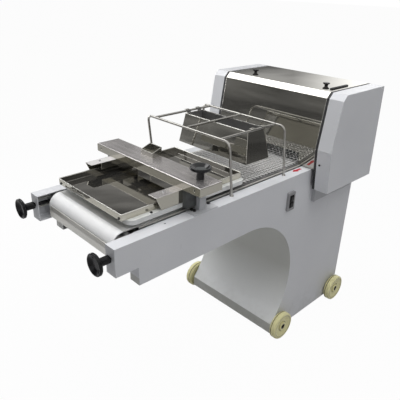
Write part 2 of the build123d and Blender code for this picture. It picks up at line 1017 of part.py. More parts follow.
def hand_knob(neck):
    """A cup-shaped hand knob whose stem starts at the origin and points along +Z."""
    flare_top = neck + knob_flare
    top = knob_height(neck)
    lip = knob_radius - knob_lip
    profile = outline((
        (0, 0),
        (knob_stem_radius, 0),
        (knob_stem_radius, neck),
        (knob_radius - knob_round, flare_top - knob_round),
        (knob_radius, flare_top),
        (knob_radius, flare_top + knob_rim),
        (knob_radius - knob_round, top),
        (lip, top),
        (lip - knob_dish_slope, top - knob_dish),
        (0, top - knob_dish),
    ))
    return revolve(Plane.XZ * profile, Axis.Z)


def lift_knob():
    knob = Pos(screw_x, -screw_y, bridge_top + knob_seat_gap) * hand_knob(lift_neck)
    return knob + lift_screw()


def tension_knob():
    """A knob in front of the arm and the screw that pulls on the roller block."""
    stand = tension_reach - knob_height(tension_neck)
    knob = Pos(-stand, -tension_y, axis_z) * Rot(0, -90, 0) * hand_knob(tension_neck)
    start = -stand - knob_socket(tension_neck)
    end = front_roller_x - block_half - knob_seat_gap
    return knob + rod_x(-tension_y, axis_z, tension_screw_radius, start, end)


# Guard of bent round rod, leaning forwards
def guard_hoop(foot_x, rod_radius):
    below = 8.0
    lean = guard_lean / guard_height
    top_x = foot_x - guard_lean
    top_z = guard_top
    low = (foot_x + lean * below, rail_top - below)
    path = FilletPolyline(
        (low[0], -guard_half, low[1]),
        (top_x, -guard_half, top_z),
        (top_x, guard_half, top_z),
        (low[0], guard_half, low[1]),
        radius=guard_bend,
    )
    start = Plane(origin=path @ 0, z_dir=path % 0)
    rod = sweep(start * Circle(rod_radius), path=path)
    return rod - block(0, body_length, -panel_half_width, panel_half_width, 0, rail_top)


def guard_bars():
    bars = []
    z = guard_top
    front_hoop = guard_hoop(guard_front_foot, guard_rod + weld_gap)
    rear_hoop = guard_hoop(guard_rear_foot, guard_rod + weld_gap)
    for y in (-side_bar_y, 0.0, side_bar_y):
        bar = rod_x(y, z, guard_rod, guard_front_foot - guard_lean, guard_rear_foot - guard_lean)
        bars.append(bar - front_hoop - rear_hoop)
    return group(bars)


def frustum(grow, low, high):
    front = hopper_rim_front + grow
    rear = hopper_rim_rear - grow
    half = hopper_rim_half - grow
    top = Plane(origin=(0, 0, high)) * Pos((front + rear) / 2, 0) * Rectangle(rear - front, 2 * half)
    bottom = Plane(origin=(0, 0, low)) * Pos((front + rear) / 2, 0) * Rectangle(
        rear - front + 2 * hopper_flare, 2 * half + 2 * hopper_flare
    )
    return loft([bottom, top])


def feed_hopper():
    walls = frustum(0, hopper_mouth_bottom, hopper_rim_top)
    walls -= frustum(hopper_sheet, hopper_mouth_bottom, hopper_rim_top)
    hook_top = guard_top + guard_rod + weld_gap + hopper_sheet
    hook_ends = (hopper_rim_front + hook_inset, hopper_rim_rear - hook_inset - hook_width)
    for x in hook_ends:
        for side in (-1, 1):
            inner = side * (hopper_rim_half - hopper_sheet)
            outer = side * hopper_rim_half
            far = side * (side_bar_y + guard_rod + hook_overhang)
            walls += block(
                x, x + hook_width, min(inner, outer), max(inner, outer), hopper_rim_top - 1, hook_top
            )
            walls += block(
                x, x + hook_width, min(inner, far), max(inner, far), hook_top - hopper_sheet, hook_top
            )
    return walls


# Curling net: one holed sheet that lies on the belt and hangs from a rod under the hood
def curl_net():
    bottom = belt_top + net_belt_gap
    top_end = net_rod_z - net_rod - net_rod_gap
    length = net_rise_start - net_front
    bend_z = bottom + net_bend_rise
    cell_x = (length - net_wire) / net_rows
    cell_y = (2 * net_half - net_wire) / net_columns
    gaps = []
    for row in range(net_rows):
        for column in range(net_columns):
            gaps.append(Pos(
                net_front + net_wire + (row + 0.5) * cell_x - net_wire / 2,
                -net_half + net_wire + (column + 0.5) * cell_y - net_wire / 2,
            ) * Rectangle(cell_x - net_wire, cell_y - net_wire))
    holed = Pos((net_front + net_rise_start) / 2, 0) * Rectangle(length, 2 * net_half) - gaps
    flat = Pos(0, 0, bottom) * extrude(holed, net_sheet)
    rise = outline((
        (net_rise_start, bottom),
        (net_rise_start + net_bend, bend_z),
        (net_rod_x, top_end),
        (net_rod_x - net_sheet, top_end),
        (net_rise_start + net_bend - 1, bend_z + net_sheet),
        (net_rise_start, bottom + net_sheet),
    ))
    return flat + side_slab(rise, -net_half, net_half)


def net_rod_bar():
    return rod_y(net_rod_x, net_rod_z, net_rod, -plate_outer, plate_outer)


# Wheels
def wheel_sides():
    inner = panel_half_width + wheel_inset
    return inner, inner + wheel_width


def wheel(x):
    """A moulded wheel: grooved tread, dished face and raised hub."""
    bore = axle_radius + running_fit
    groove_end = tread_groove_start + tread_groove
    profile = outline((
        (bore, 0),
        (wheel_radius - wheel_round, 0),
        (wheel_radius, wheel_round),
        (wheel_radius, tread_groove_start),
        (wheel_radius - tread_groove_depth, tread_groove_start + tread_groove / 2),
        (wheel_radius, groove_end),
        (wheel_radius, wheel_width - wheel_round),
        (wheel_radius - wheel_round / 3, wheel_width - wheel_round / 3),
        (wheel_radius - wheel_round, wheel_width),
        (wheel_radius - wheel_rim, wheel_width),
        (hub_radius + hub_slope, wheel_width - wheel_dish),
        (hub_radius, wheel_width - wheel_dish),
        (hub_radius - hub_setback, wheel_width - hub_setback),
        (bore, wheel_width - hub_setback),
    ))
    inner, _ = wheel_sides()
    turned = revolve(Plane.XZ * profile, Axis.Z)
    return Pos(x, -inner, wheel_radius) * Rot(90, 0, 0) * turned


def axle(x):
    inner, outer = wheel_sides()
    end = outer - axle_end
    shape = rod_y(x, wheel_radius, axle_radius, -end, end)
    collar = axle_radius + axle_collar
    for side in (-1, 1):
        face = side * panel_half_width
        stop = side * (inner - axle_collar_gap)
        shape += rod_y(x, wheel_radius, collar, min(face, stop), max(face, stop))
    return shape


# Switch
def switch_plate():
    front = -panel_half_width - switch_plate_stand
    plate = block(
        switch_x - switch_width / 2, switch_x + switch_width / 2, front, -panel_half_width,
        switch_z - switch_height / 2, switch_z + switch_height / 2,
    )
    plate = fillet(plate.edges().filter_by(Axis.Y), switch_corner)
    return plate - block(
        switch_x - insert_width / 2, switch_x + insert_width / 2, front - 1, -panel_half_width + 1,
        switch_z - insert_height / 2, switch_z + insert_height / 2,
    )


def button_middles():
    spread = insert_height / 4
    return {"start_button": switch_z + spread, "stop_button": switch_z - spread}


def switch_insert():
    front = -panel_half_width - insert_stand
    back = -panel_half_width + insert_depth
    body = block(
        switch_x - insert_width / 2, switch_x + insert_width / 2, front, back,
        switch_z - insert_height / 2, switch_z + insert_height / 2,
    )
    hole = button_size / 2 + button_gap
    for z in button_middles().values():
        body -= block(
            switch_x - hole, switch_x + hole, front - 1, front + button_well, z - hole, z + hole
        )
    return body


def button(z):
    front = -panel_half_width - insert_stand
    half = button_size / 2
    body = block(
        switch_x - half, switch_x + half, front - button_stand, front + button_depth,
        z - half, z + half,
    )
    return fillet(body.edges().group_by(Axis.Y)[0], button_round)


# Small fasteners
def casing_screws():
    heads = []
    z = rail_top + casing_screw_rise
    square_to_face = Rot(0, -90 - math.degrees(math.atan(nose_lean)), 0)
    head = Cylinder(casing_screw, casing_screw_head, align=(Align.CENTER, Align.CENTER, Align.MIN))
    for side in (-1, 1):
        y = side * (casing_inner + casing_screw_inset)
        heads.append(Pos(lower_front_x(z), y, z) * square_to_face * head)
    return heads


def bracket_bolts():
    low = rail_top + bracket_sheet
    head = extrude(RegularPolygon(bolt_radius, 6), bolt_head)
    y = inner_face + bolt_row
    front = bracket_front + bolt_front_inset
    rear = bracket_front + bracket_length - bolt_rear_inset
    places = [(x, side * y) for side in (-1, 1) for x in (front, rear)]
    return [Pos(x, y, low) * head for x, y in places]


os.makedirs("parts", exist_ok=True)

save("near_side_panel", near_side_panel())
save("far_side_panel", other_side(side_panel()))
save("arm_plates", both_sides(arm_plate()))
save("arch_liner", arch_liner())
save("base_plate", base_plate())
save("rear_panel", rear_panel())
save("cable_gland", cable_gland())

save("near_casing", casing())
save("far_casing", other_side(casing()))
save("edge_trims", both_sides(edge_trim()))
save("head_plates", both_sides(head_side_plate()))
save("hinge_pin", hinge_pin())
save("rear_cover", rear_cover())
save("infeed_chute", infeed_chute())
save("tie_bars", tie_bars())
save("hood", hood())
save("hood_knobs", hood_knobs())

save("conveyor_belt", conveyor_belt())
save("belt_bed", belt_bed())
save("cross_bars", cross_bars())
save("edge_strips", both_sides(edge_strip()))
save("front_roller", front_roller())
save("roller_blocks", both_sides(roller_block()))
save("drive_roller", drive_roller())
save("scraper_tray", scraper_tray())

upper_pitch = sheet_roller_radius + upper_gap / 2
lower_pitch = sheet_roller_radius + lower_gap / 2
half_tooth = math.pi / gear_teeth
save("upper_front_roller", sheet_roller("upper_front", upper_pitch, 0, 0))
save("upper_rear_roller", sheet_roller("upper_rear", upper_pitch, upper_sprocket, half_tooth))
save("lower_front_roller", sheet_roller("lower_front", lower_pitch, 0, 0))
save("lower_rear_roller", sheet_roller("lower_rear", lower_pitch, lower_sprocket, half_tooth))
upper_blades = scraper_blades(upper_pair_z, upper_gap)
lower_blades = scraper_blades(lower_pair_z, lower_gap)
save("scraper_blades", group((*upper_blades, *lower_blades)))
save("drive_chain", drive_chain())
save("motor", motor())
save("motor_pulley", motor_pulley())
save("vee_belt", vee_belt())

save("press_board", press_board())
save("tray", tray())
save("ears", both_sides(ear()))
save("guide_blocks", both_sides(guide_block()))
save("bridge", bridge())
save("bridge_pocket", bridge_pocket())
save("rail_brackets", both_sides(rail_bracket()))
save("near_lift_knob", lift_knob())
save("guide_pin", guide_pin())
save("near_tension_knob", tension_knob())
save("far_tension_knob", other_side(tension_knob()))

front_hoop = guard_hoop(guard_front_foot, guard_rod)
rear_hoop = guard_hoop(guard_rear_foot, guard_rod)
save("guard_hoops", group((front_hoop, rear_hoop)))
save("guard_bars", guard_bars())
save("feed_hopper", feed_hopper())
save("curl_net", curl_net())
save("net_rod", net_rod_bar())

save("near_front_wheel", wheel(front_wheel_x))
save("far_front_wheel", other_side(wheel(front_wheel_x)))
save("near_rear_wheel", wheel(rear_wheel_x))
save("far_rear_wheel", other_side(wheel(rear_wheel_x)))
save("axles", group((axle(front_wheel_x), axle(rear_wheel_x))))

save("switch_plate", switch_plate())
save("switch_insert", switch_insert())
for name, z in button_middles().items():
    save(name, button(z))

save("body_screws", group((*casing_screws(), *bracket_bolts())))
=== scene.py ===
import json
import math

import bmesh
import bpy
from mathutils import Matrix, Vector


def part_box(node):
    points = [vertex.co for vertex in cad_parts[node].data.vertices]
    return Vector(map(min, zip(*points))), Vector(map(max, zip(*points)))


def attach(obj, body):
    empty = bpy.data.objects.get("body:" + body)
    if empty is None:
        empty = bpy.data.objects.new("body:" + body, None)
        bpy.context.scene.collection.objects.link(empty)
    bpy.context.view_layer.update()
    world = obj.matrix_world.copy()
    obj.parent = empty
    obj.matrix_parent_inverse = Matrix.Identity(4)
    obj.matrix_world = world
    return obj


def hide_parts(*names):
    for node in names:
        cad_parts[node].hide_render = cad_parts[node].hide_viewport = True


# Dough moulder in a pale studio. Metres, +Z up, +X from the outfeed end to the head.
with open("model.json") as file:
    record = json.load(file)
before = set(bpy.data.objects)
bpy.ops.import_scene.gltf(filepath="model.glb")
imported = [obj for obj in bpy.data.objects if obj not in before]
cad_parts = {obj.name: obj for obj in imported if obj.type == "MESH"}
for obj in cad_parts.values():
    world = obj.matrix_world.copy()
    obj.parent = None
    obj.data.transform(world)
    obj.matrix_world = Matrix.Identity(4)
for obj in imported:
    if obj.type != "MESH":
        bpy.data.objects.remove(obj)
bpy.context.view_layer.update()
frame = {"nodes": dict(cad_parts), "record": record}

# Camera, worked out from the straight edges of the machine
CAMERA_PLACE = (-1.2645, -1.2120, 1.4782)
CAMERA_YAW = 44.5495
CAMERA_PITCH = -25.1544
CAMERA_ROLL = 1.846
CAMERA_LENS = 41.811
SENSOR_WIDTH = 36.0

# Studio
FLOOR_SIDE = 80.0
FLOOR_GREY = (0.50, 0.50, 0.51, 1.0)
FLOOR_LIFT = 0.97
FLOOR_IN_MIRRORS = 0.35
ROOM_FILL = 0.11
WHITE = (1.0, 1.0, 1.0, 1.0)
WARM_WHITE = (1.0, 0.99, 0.97, 1.0)
BLACK = (0.0, 0.0, 0.0, 1.0)

# Painted shade in the arch: how far its faces reach, and the painted light that makes the foot white
# above its front lip
ARCH_REAR = 0.40
ARCH_TOP = 0.66
ARCH_BLEND = 0.002
LIP_TOP = 0.0755
LIT_FOOT_TOP = 0.12
LIT_FOOT_FADE = 0.22

# Floor dirt on the paint: full below the first height, none above the second
DIRT_FULL = 0.02
DIRT_END = 0.16

# Belt cover: spans behind the front roller's middle over which it turns flat and takes painted shade,
# grey at first, paler a little further back, then near black
BELT_FLAT = (-0.001, 0.003)
BELT_SHADE_FADE = (0.0, 0.035)
BELT_DARK_SHADE = (0.10, 0.30)

# Wheels: the radii and the depth from the inner face at which grime and painted shade are laid
RIM_FOOT = 0.053
HUB_FOOT = 0.023
BORE_SHADE_RADIUS = 0.0130
TREAD_GROOVE = 0.0095

# Polished sheet: share of metal, radius that its edges are softened over, span below the top of its film
MIRROR_METAL = 0.92
SHEET_EDGE = 0.0028
FILM_SPAN = (0.0015, 0.0005)

# Woven net: round wires on the slant, lying on the belt and climbing to their rod
NET_PITCH = 0.0130
NET_WIRE = 0.0019
NET_CRIMP = 0.0020
NET_CLIMB = 0.041
NET_BEND = 1.25
NET_SLANT = 45.0
NET_ROUNDING = 1

# Red arrow on the near rail
ARROW_TIP = 0.2310
ARROW_MIDDLE = -0.2215
ARROW_LENGTH = 0.056
ARROW_HEAD_LENGTH = 0.025
ARROW_HEAD_HALF = 0.0125
ARROW_SHAFT_HALF = 0.0060
ARROW_THICK = 0.0003

# Faces that look up, by the height of their normal
UPWARD = 0.9
LEVEL = 0.99

# Screw heads: bevel and rim as shares of the radius, socket as a share of the height
HEAD_BEVEL = 0.2
SOCKET_RIM = 0.35
SOCKET_DEPTH = 0.5

# Screws: heads, as radius and height, and where they stand
CARRIAGE_HEAD = (0.0045, 0.0035)
EAR_SCREW_X = -0.4125
EAR_SCREW_OUT = 0.182
BOARD_SCREW_X = -0.4725
BOARD_SCREW_OUT = 0.195
TRAY_HEAD = (0.0042, 0.0025)
TRAY_SCREW_INSET = 0.012
TRAY_SCREW_RISE = 0.006
BRACKET_HEAD = (0.0052, 0.0060)
BRACKET_SCREW_BACK = 0.022
BRACKET_SCREW_OUT = 0.2285
BRACKET_FOOT = 0.004

# Bars inside the arms that guide the roller blocks
ARM_SHEET = 0.0025
GUIDE_DEPTH = 0.018
GUIDE_THICK = 0.003
GUIDE_SPREAD = 0.0135
GUIDE_EDGE = 0.25 * GUIDE_THICK

# Rolled hems of tray and hopper
HEM_CORNER = 0.0025
HEM_ROUNDING = 4
TRAY_HEM = 0.0015
HOPPER_HEM = 0.0018
HOPPER_LOW = (-0.0045, -0.168)
HOPPER_HIGH = (0.0905, 0.168)
HOPPER_TOP = 0.9900

# Weld beads round the feet of the guard
GUARD_ROD = 0.0045
GUARD_FEET = (-0.1315, 0.1725)
WELD_RADIUS = 0.0080
WELD_HEIGHT = 0.0045
WELD_TAPER = 0.72
WELD_EDGE = 0.4 * WELD_HEIGHT
WELD_SMOOTH = 50.0

# Rubber bar along the near edge of the hood top
HOOD_BAR_X = 0.4625
HOOD_BAR_Y = -0.240
HOOD_BAR_SIDES = (0.124, 0.012, 0.005)
HOOD_BAR_EDGE = 0.0022
HOOD_BAR_SMOOTH = 40.0

# Cards: darkest band, what the bands add to it, and the share of the half width before the white ends
BAND_DARK = 0.45
BAND_SPAN = 1.1
CARD_PLAIN = 0.65


class Value:
    """A shader socket that takes part in Python arithmetic."""

    def __init__(self, nodes, socket):
        self.nodes = nodes
        self.socket = socket

    def __add__(self, other):
        return self.nodes.math("ADD", self, other)

    def __radd__(self, other):
        return self.nodes.math("ADD", other, self)

    def __sub__(self, other):
        return self.nodes.math("SUBTRACT", self, other)

    def __rsub__(self, other):
        return self.nodes.math("SUBTRACT", other, self)

    def __mul__(self, other):
        return self.nodes.math("MULTIPLY", self, other)

    def __rmul__(self, other):
        return self.nodes.math("MULTIPLY", other, self)


class Nodes:
    """A node tree and the means to add nodes to it."""

    def __init__(self, tree):
        self.tree = tree

    def node(self, kind, settings, sockets, out=0):
        made = self.tree.nodes.new(kind)
        for name, value in settings.items():
            setattr(made, name, value)
        for key, value in sockets.items():
            if isinstance(value, Value):
                self.tree.links.new(value.socket, made.inputs[key])
            else:
                made.inputs[key].default_value = value
        return Value(self, made.outputs[out])

    def math(self, operation, *terms):
        return self.node("ShaderNodeMath", {"operation": operation}, dict(enumerate(terms)))

    def seen_share(self, straight, mirrored):
        """One share where the camera looks, another by way of a mirror or a clear piece."""
        seen = self.node("ShaderNodeLightPath", {}, {}, "Is Camera Ray") * straight
        for ray in ("Is Glossy Ray", "Is Transmission Ray"):
            part = self.node("ShaderNodeLightPath", {}, {}, ray) * mirrored
            seen = self.math("MAXIMUM", seen, part)
        return seen


class Finish(Nodes):
    """One material, with the patterns that finishes are made of."""

    def __init__(self, name):
        self.material = bpy.data.materials.new(name)
        self.material.use_nodes = True
        super().__init__(self.material.node_tree)
        self.tree.nodes.clear()
        self.output = self.tree.nodes.new("ShaderNodeOutputMaterial")

    def place(self, stretch=(1.0, 1.0, 1.0)):
        """Object coordinates in metres, stretched along the axes."""
        spot = self.node("ShaderNodeTexCoord", {}, {}, "Object")
        return self.node("ShaderNodeMapping", {}, {"Vector": spot, "Scale": stretch})

    def facing(self):
        """The direction that a face looks in."""
        return self.node("ShaderNodeNewGeometry", {}, {}, "Normal")

    def part(self, vector, letter):
        """One of the three numbers of a vector."""
        return self.node("ShaderNodeSeparateXYZ", {}, {0: vector}, letter)

    def axis(self, letter):
        return self.part(self.place(), letter)

    def noise(self, scale, detail=3.0, stretch=(1.0, 1.0, 1.0)):
        return self.node(
            "ShaderNodeTexNoise", {},
            {"Vector": self.place(stretch), "Scale": scale, "Detail": detail},
        )

    def step(self, value, low, high):
        """0 below low, 1 above high, a straight slope between."""
        return self.node(
            "ShaderNodeMapRange", {"clamp": True},
            {"Value": value, "From Min": low, "From Max": high, "To Min": 0.0, "To Max": 1.0},
        )

    def mix(self, share, first, second):
        return self.node(
            "ShaderNodeMix", {"data_type": "RGBA"}, {"Factor": share, 6: first, 7: second}, 2
        )

    def away(self, value, level):
        """How far a value is from a level."""
        return self.math("ABSOLUTE", value - level)

    def bump(self, height, strength, depth, edge=0.0):
        """Fine relief, on edges that are softened over the given radius."""
        sockets = {"Height": height, "Strength": strength, "Distance": depth}
        if edge:
            sockets["Normal"] = self.node("ShaderNodeBevel", {"samples": 6}, {"Radius": edge})
        return self.node("ShaderNodeBump", {}, sockets)

    def show(self, shader):
        """Put a shader on the surface and hand over the material."""
        self.tree.links.new(shader.socket, self.output.inputs["Surface"])
        return self.material

    def surface(self, sockets):
        return self.show(self.node("ShaderNodeBsdfPrincipled", {}, sockets))


# Paint
def shaded(colour, shade):
    return (colour[0] * shade, colour[1] * shade, colour[2] * shade, 1.0)


def arch_share(finish):
    """Where a face of the panels or the liner looks into the arch over the foot."""
    sideways = finish.away(finish.part(finish.facing(), "Y"), 0.0)
    below = 1 - finish.step(finish.axis("Z"), ARCH_TOP - ARCH_BLEND, ARCH_TOP)
    ahead = 1 - finish.step(finish.axis("X"), ARCH_REAR - ARCH_BLEND, ARCH_REAR)
    return (1 - finish.step(sideways, 0.4, 0.6)) * below * ahead


def arch_shade_colour(finish):
    """Painted shade, grey in the arch, and painted light, white towards the foot."""
    arch_shade_grey = (0.575, 0.58, 0.55, 1.0)
    foot_painted_light = (0.86, 0.875, 0.88, 1.0)
    # Painted light on the foot, from its front lip up to where it fades
    lit_foot = 1 - finish.step(finish.axis("Z"), LIT_FOOT_TOP, LIT_FOOT_TOP + LIT_FOOT_FADE)
    lit_foot = lit_foot * finish.step(finish.axis("Z"), LIP_TOP - ARCH_BLEND, LIP_TOP)
    return finish.mix(lit_foot, arch_shade_grey, foot_painted_light)


def white_paint(name="white_powder_coat", shade=1.0, arch=False):
    """Powder coat with fine peel, scuffs, and dirt near the floor; where asked, painted shade in the arch
    and painted light on its foot.
    """
    pale = shaded((0.70, 0.71, 0.74), shade)
    paler = shaded((0.75, 0.76, 0.785), shade)
    scuff_grey = (0.42, 0.42, 0.42, 1.0)
    floor_dirt = (0.30, 0.27, 0.23, 1.0)
    finish = Finish(name)
    clouds = finish.step(finish.noise(3.0), 0.35, 0.7)
    peel = finish.noise(420.0, 2.0)
    scuffs = finish.step(finish.noise(60.0, 6.0, (1.0, 1.0, 0.25)), 0.68, 0.78)
    near_floor = 1 - finish.step(finish.axis("Z"), DIRT_FULL, DIRT_END)
    dirt = near_floor * finish.step(finish.noise(26.0, 5.0), 0.42, 0.75)
    colour = finish.mix(clouds, pale, paler)
    if arch:
        # Painted shade in the arch and painted light on its foot
        colour = finish.mix(arch_share(finish), colour, arch_shade_colour(finish))
    colour = finish.mix(scuffs * 0.18, colour, scuff_grey)
    colour = finish.mix(dirt * 0.25, colour, floor_dirt)
    return finish.surface({
        "Base Color": colour,
        "Roughness": 0.36 + clouds * 0.10 + dirt * 0.25,
        "Coat Weight": 0.12,
        "Coat Roughness": 0.18,
        "Normal": finish.bump(peel, 0.12, 0.0004, 0.0015),
    })


# Polished sheet
STEEL_BARE = (0.44, 0.43, 0.395, 1.0)
STEEL_SMEARED = (0.52, 0.51, 0.475, 1.0)


def polished_steel():
    """Mirror sheet with smears and wiping marks."""
    finish = Finish("mirror_stainless")
    waves = finish.noise(5.0, 1.0)
    smears = finish.step(finish.noise(14.0, 4.0, (1.0, 0.5, 1.0)), 0.5, 0.8)
    wiping = finish.noise(240.0, 2.0, (0.06, 1.0, 1.0))
    return finish.surface({
        "Base Color": finish.mix(smears, STEEL_BARE, STEEL_SMEARED),
        "Metallic": MIRROR_METAL,
        "Roughness": 0.02 + smears * 0.05 + wiping * 0.02,
        "Normal": finish.bump(waves, 0.03, 0.004, SHEET_EDGE),
    })


def inner_share(finish, node):
    """1 on the faces of an open box that look towards its middle."""
    low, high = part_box(node)
    outward = finish.node(
        "ShaderNodeVectorMath", {"operation": "SUBTRACT"}, {0: finish.place(), 1: (low + high) / 2}
    )
    turned = finish.node(
        "ShaderNodeVectorMath", {"operation": "DOT_PRODUCT"}, {0: outward, 1: finish.facing()}, 1
    )
    return 1 - finish.step(turned, -0.004, 0.0)


def open_box_steel(name, node, outer, inner, metal, dulled):
    """Sheet of an open box. Colours, clean and smeared, and share of metal differ out- and inside."""
    finish = Finish(name)
    smears = finish.step(finish.noise(14.0, 4.0), 0.5, 0.8)
    inside = inner_share(finish, node)
    return finish.surface({
        "Base Color": finish.mix(inside, finish.mix(smears, *outer), finish.mix(smears, *inner)),
        "Metallic": metal[0] + inside * (metal[1] - metal[0]),
        "Roughness": 0.03 + smears * 0.05 + inside * dulled,
        "Normal": finish.bump(smears, 0.02, 0.002, SHEET_EDGE),
    })


def tray_steel():
    """Mirror tray, paler outside and darker inside."""
    outer = ((0.60, 0.58, 0.50, 1.0), (0.68, 0.66, 0.58, 1.0))
    inner = ((0.31, 0.30, 0.28, 1.0), (0.365, 0.357, 0.335, 1.0))
    return open_box_steel("tray_stainless", "tray", outer, inner, (0.70, MIRROR_METAL), 0.0)


def hopper_steel():
    """Mirror sheet outside, darker and duller inside."""
    outer = (STEEL_BARE, STEEL_SMEARED)
    inner = ((0.22, 0.216, 0.214, 1.0), (0.27, 0.265, 0.258, 1.0))
    return open_box_steel("hopper_sheet", "feed_hopper", outer, inner, (MIRROR_METAL, 0.22), 0.45)


def filmed_steel(node, far_reflection=0.0):
    """Polished sheet with a cloudy, faintly pink protective film on top; where asked, a painted
    reflection whitens it on the far side.
    """
    bare = (0.46, 0.445, 0.39, 1.0)
    film_dark = (0.63, 0.605, 0.60, 1.0)
    film_light = (0.72, 0.69, 0.685, 1.0)
    stripe_pink = (0.86, 0.82, 0.82, 1.0)
    reflection_white = (0.93, 0.91, 0.91, 1.0)
    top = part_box(node)[1].z
    finish = Finish("filmed_" + node)
    clouds = finish.step(finish.noise(9.0, 3.0), 0.38, 0.75)
    stripes = finish.step(finish.noise(60.0, 2.0, (1.0, 0.04, 1.0)), 0.42, 0.62)
    film = finish.step(finish.axis("Z"), top - FILM_SPAN[0], top - FILM_SPAN[1])
    # Painted reflection: the film turns white and less metallic on the far side
    painted_reflection = finish.step(finish.axis("Y"), 0.0, 0.01) * far_reflection
    filmed = finish.mix(clouds, film_dark, film_light)
    filmed = finish.mix(stripes * 0.5, filmed, stripe_pink)
    filmed = finish.mix(painted_reflection, filmed, reflection_white)
    return finish.surface({
        "Base Color": finish.mix(film, bare, filmed),
        "Metallic": MIRROR_METAL - film * (0.12 + painted_reflection * 0.6),
        "Roughness": 0.04 + film * (0.12 + clouds * 0.16),
        "Normal": finish.bump(clouds, 0.03, 0.002, SHEET_EDGE),
    })


# Rods, rollers and plain steel
def bright_rod():
    """Drawn round rod of the guard."""
    dull = (0.35, 0.34, 0.32, 1.0)
    bright = (0.46, 0.45, 0.42, 1.0)
    finish = Finish("bright_stainless_rod")
    drawn = finish.noise(600.0, 3.0, (0.1, 1.0, 0.3))
    patches = finish.step(finish.noise(18.0), 0.4, 0.7)
    return finish.surface({
        "Base Color": finish.mix(patches, dull, bright),
        "Metallic": 1.0,
        "Roughness": 0.16 + drawn * 0.12 + patches * 0.05,
        "Normal": finish.bump(drawn, 0.08, 0.0003),
    })


def bright_edge():
    """Rolled sheet edge, rubbed dull in places."""
    bright = (0.74, 0.73, 0.69, 1.0)
    dull = (0.56, 0.55, 0.52, 1.0)
    finish = Finish("bright_rolled_edge")
    worn = finish.step(finish.noise(80.0, 3.0), 0.4, 0.7)
    return finish.surface({
        "Base Color": finish.mix(worn, bright, dull),
        "Metallic": 1.0,
        "Roughness": 0.24 + worn * 0.10,
    })


def plain_steel():
    """Satin steel with its grain along the machine."""
    dark = (0.40, 0.40, 0.41, 1.0)
    light = (0.54, 0.54, 0.54, 1.0)
    finish = Finish("satin_steel")
    grain = finish.noise(500.0, 4.0, (0.08, 1.0, 1.0))
    patches = finish.noise(12.0)
    return finish.surface({
        "Base Color": finish.mix(patches, dark, light),
        "Metallic": 1.0,
        "Roughness": 0.26 + grain * 0.16,
        "Normal": finish.bump(grain, 0.12, 0.0003),
    })


def pale_steel(name, metal):
    """Pale satin steel with its grain across the machine."""
    dark = (0.60, 0.59, 0.55, 1.0)
    light = (0.72, 0.71, 0.68, 1.0)
    finish = Finish(name)
    grain = finish.noise(500.0, 4.0, (1.0, 0.08, 1.0))
    patches = finish.noise(10.0)
    return finish.surface({
        "Base Color": finish.mix(patches, dark, light),
        "Metallic": metal,
        "Roughness": 0.30 + grain * 0.16,
        "Normal": finish.bump(grain, 0.10, 0.0003),
    })


def black_steel():
    """Blackened screws and axles, rubbed grey in places."""
    black = (0.015, 0.015, 0.016, 1.0)
    grey = (0.06, 0.06, 0.06, 1.0)
    finish = Finish("blackened_steel")
    rubbed = finish.step(finish.noise(240.0, 4.0), 0.5, 0.75)
    return finish.surface({
        "Base Color": finish.mix(rubbed, black, grey),
        "Metallic": 0.6,
        "Roughness": 0.38 + rubbed * 0.1,
    })


def roller_steel():
    """Ground rollers with flour on them."""
    ground = (0.56, 0.56, 0.56, 1.0)
    pale_grey = (0.80, 0.79, 0.76, 1.0)
    finish = Finish("ground_steel")
    turning = finish.noise(700.0, 3.0, (0.02, 1.0, 0.02))
    flour = finish.step(finish.noise(30.0, 5.0), 0.5, 0.75)
    return finish.surface({
        "Base Color": finish.mix(flour * 0.5, ground, pale_grey),
        "Metallic": 1.0 - flour * 0.6,
        "Roughness": 0.20 + turning * 0.12 + flour * 0.3,
        "Normal": finish.bump(turning, 0.10, 0.0003),
    })


def net_wire():
    """Bright wire of the curling net."""
    dull = (0.74, 0.74, 0.73, 1.0)
    bright = (0.84, 0.83, 0.81, 1.0)
    finish = Finish("woven_net_wire")
    worn = finish.step(finish.noise(120.0, 3.0), 0.4, 0.7)
    return finish.surface({
        "Base Color": finish.mix(worn, dull, bright),
        "Metallic": 0.55,
        "Roughness": 0.16 + worn * 0.08,
    })


def motor_iron():
    """Oily enamel on cast iron."""
    enamel = (0.10, 0.12, 0.15, 1.0)
    oily = (0.05, 0.05, 0.05, 1.0)
    finish = Finish("motor_enamel")
    casting = finish.noise(220.0, 4.0)
    oil = finish.step(finish.noise(18.0, 4.0), 0.5, 0.75)
    return finish.surface({
        "Base Color": finish.mix(oil, enamel, oily),
        "Roughness": 0.5 - oil * 0.2,
        "Normal": finish.bump(casting, 0.3, 0.0008),
    })


# Belt, board, rubber and plastic
def behind_roller(finish, span):
    """0 before a span of the belt behind the front roller's middle, 1 after it."""
    low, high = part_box("front_roller")
    middle = (low.x + high.x) / 2
    return finish.step(finish.axis("X"), middle + span[0], middle + span[1])


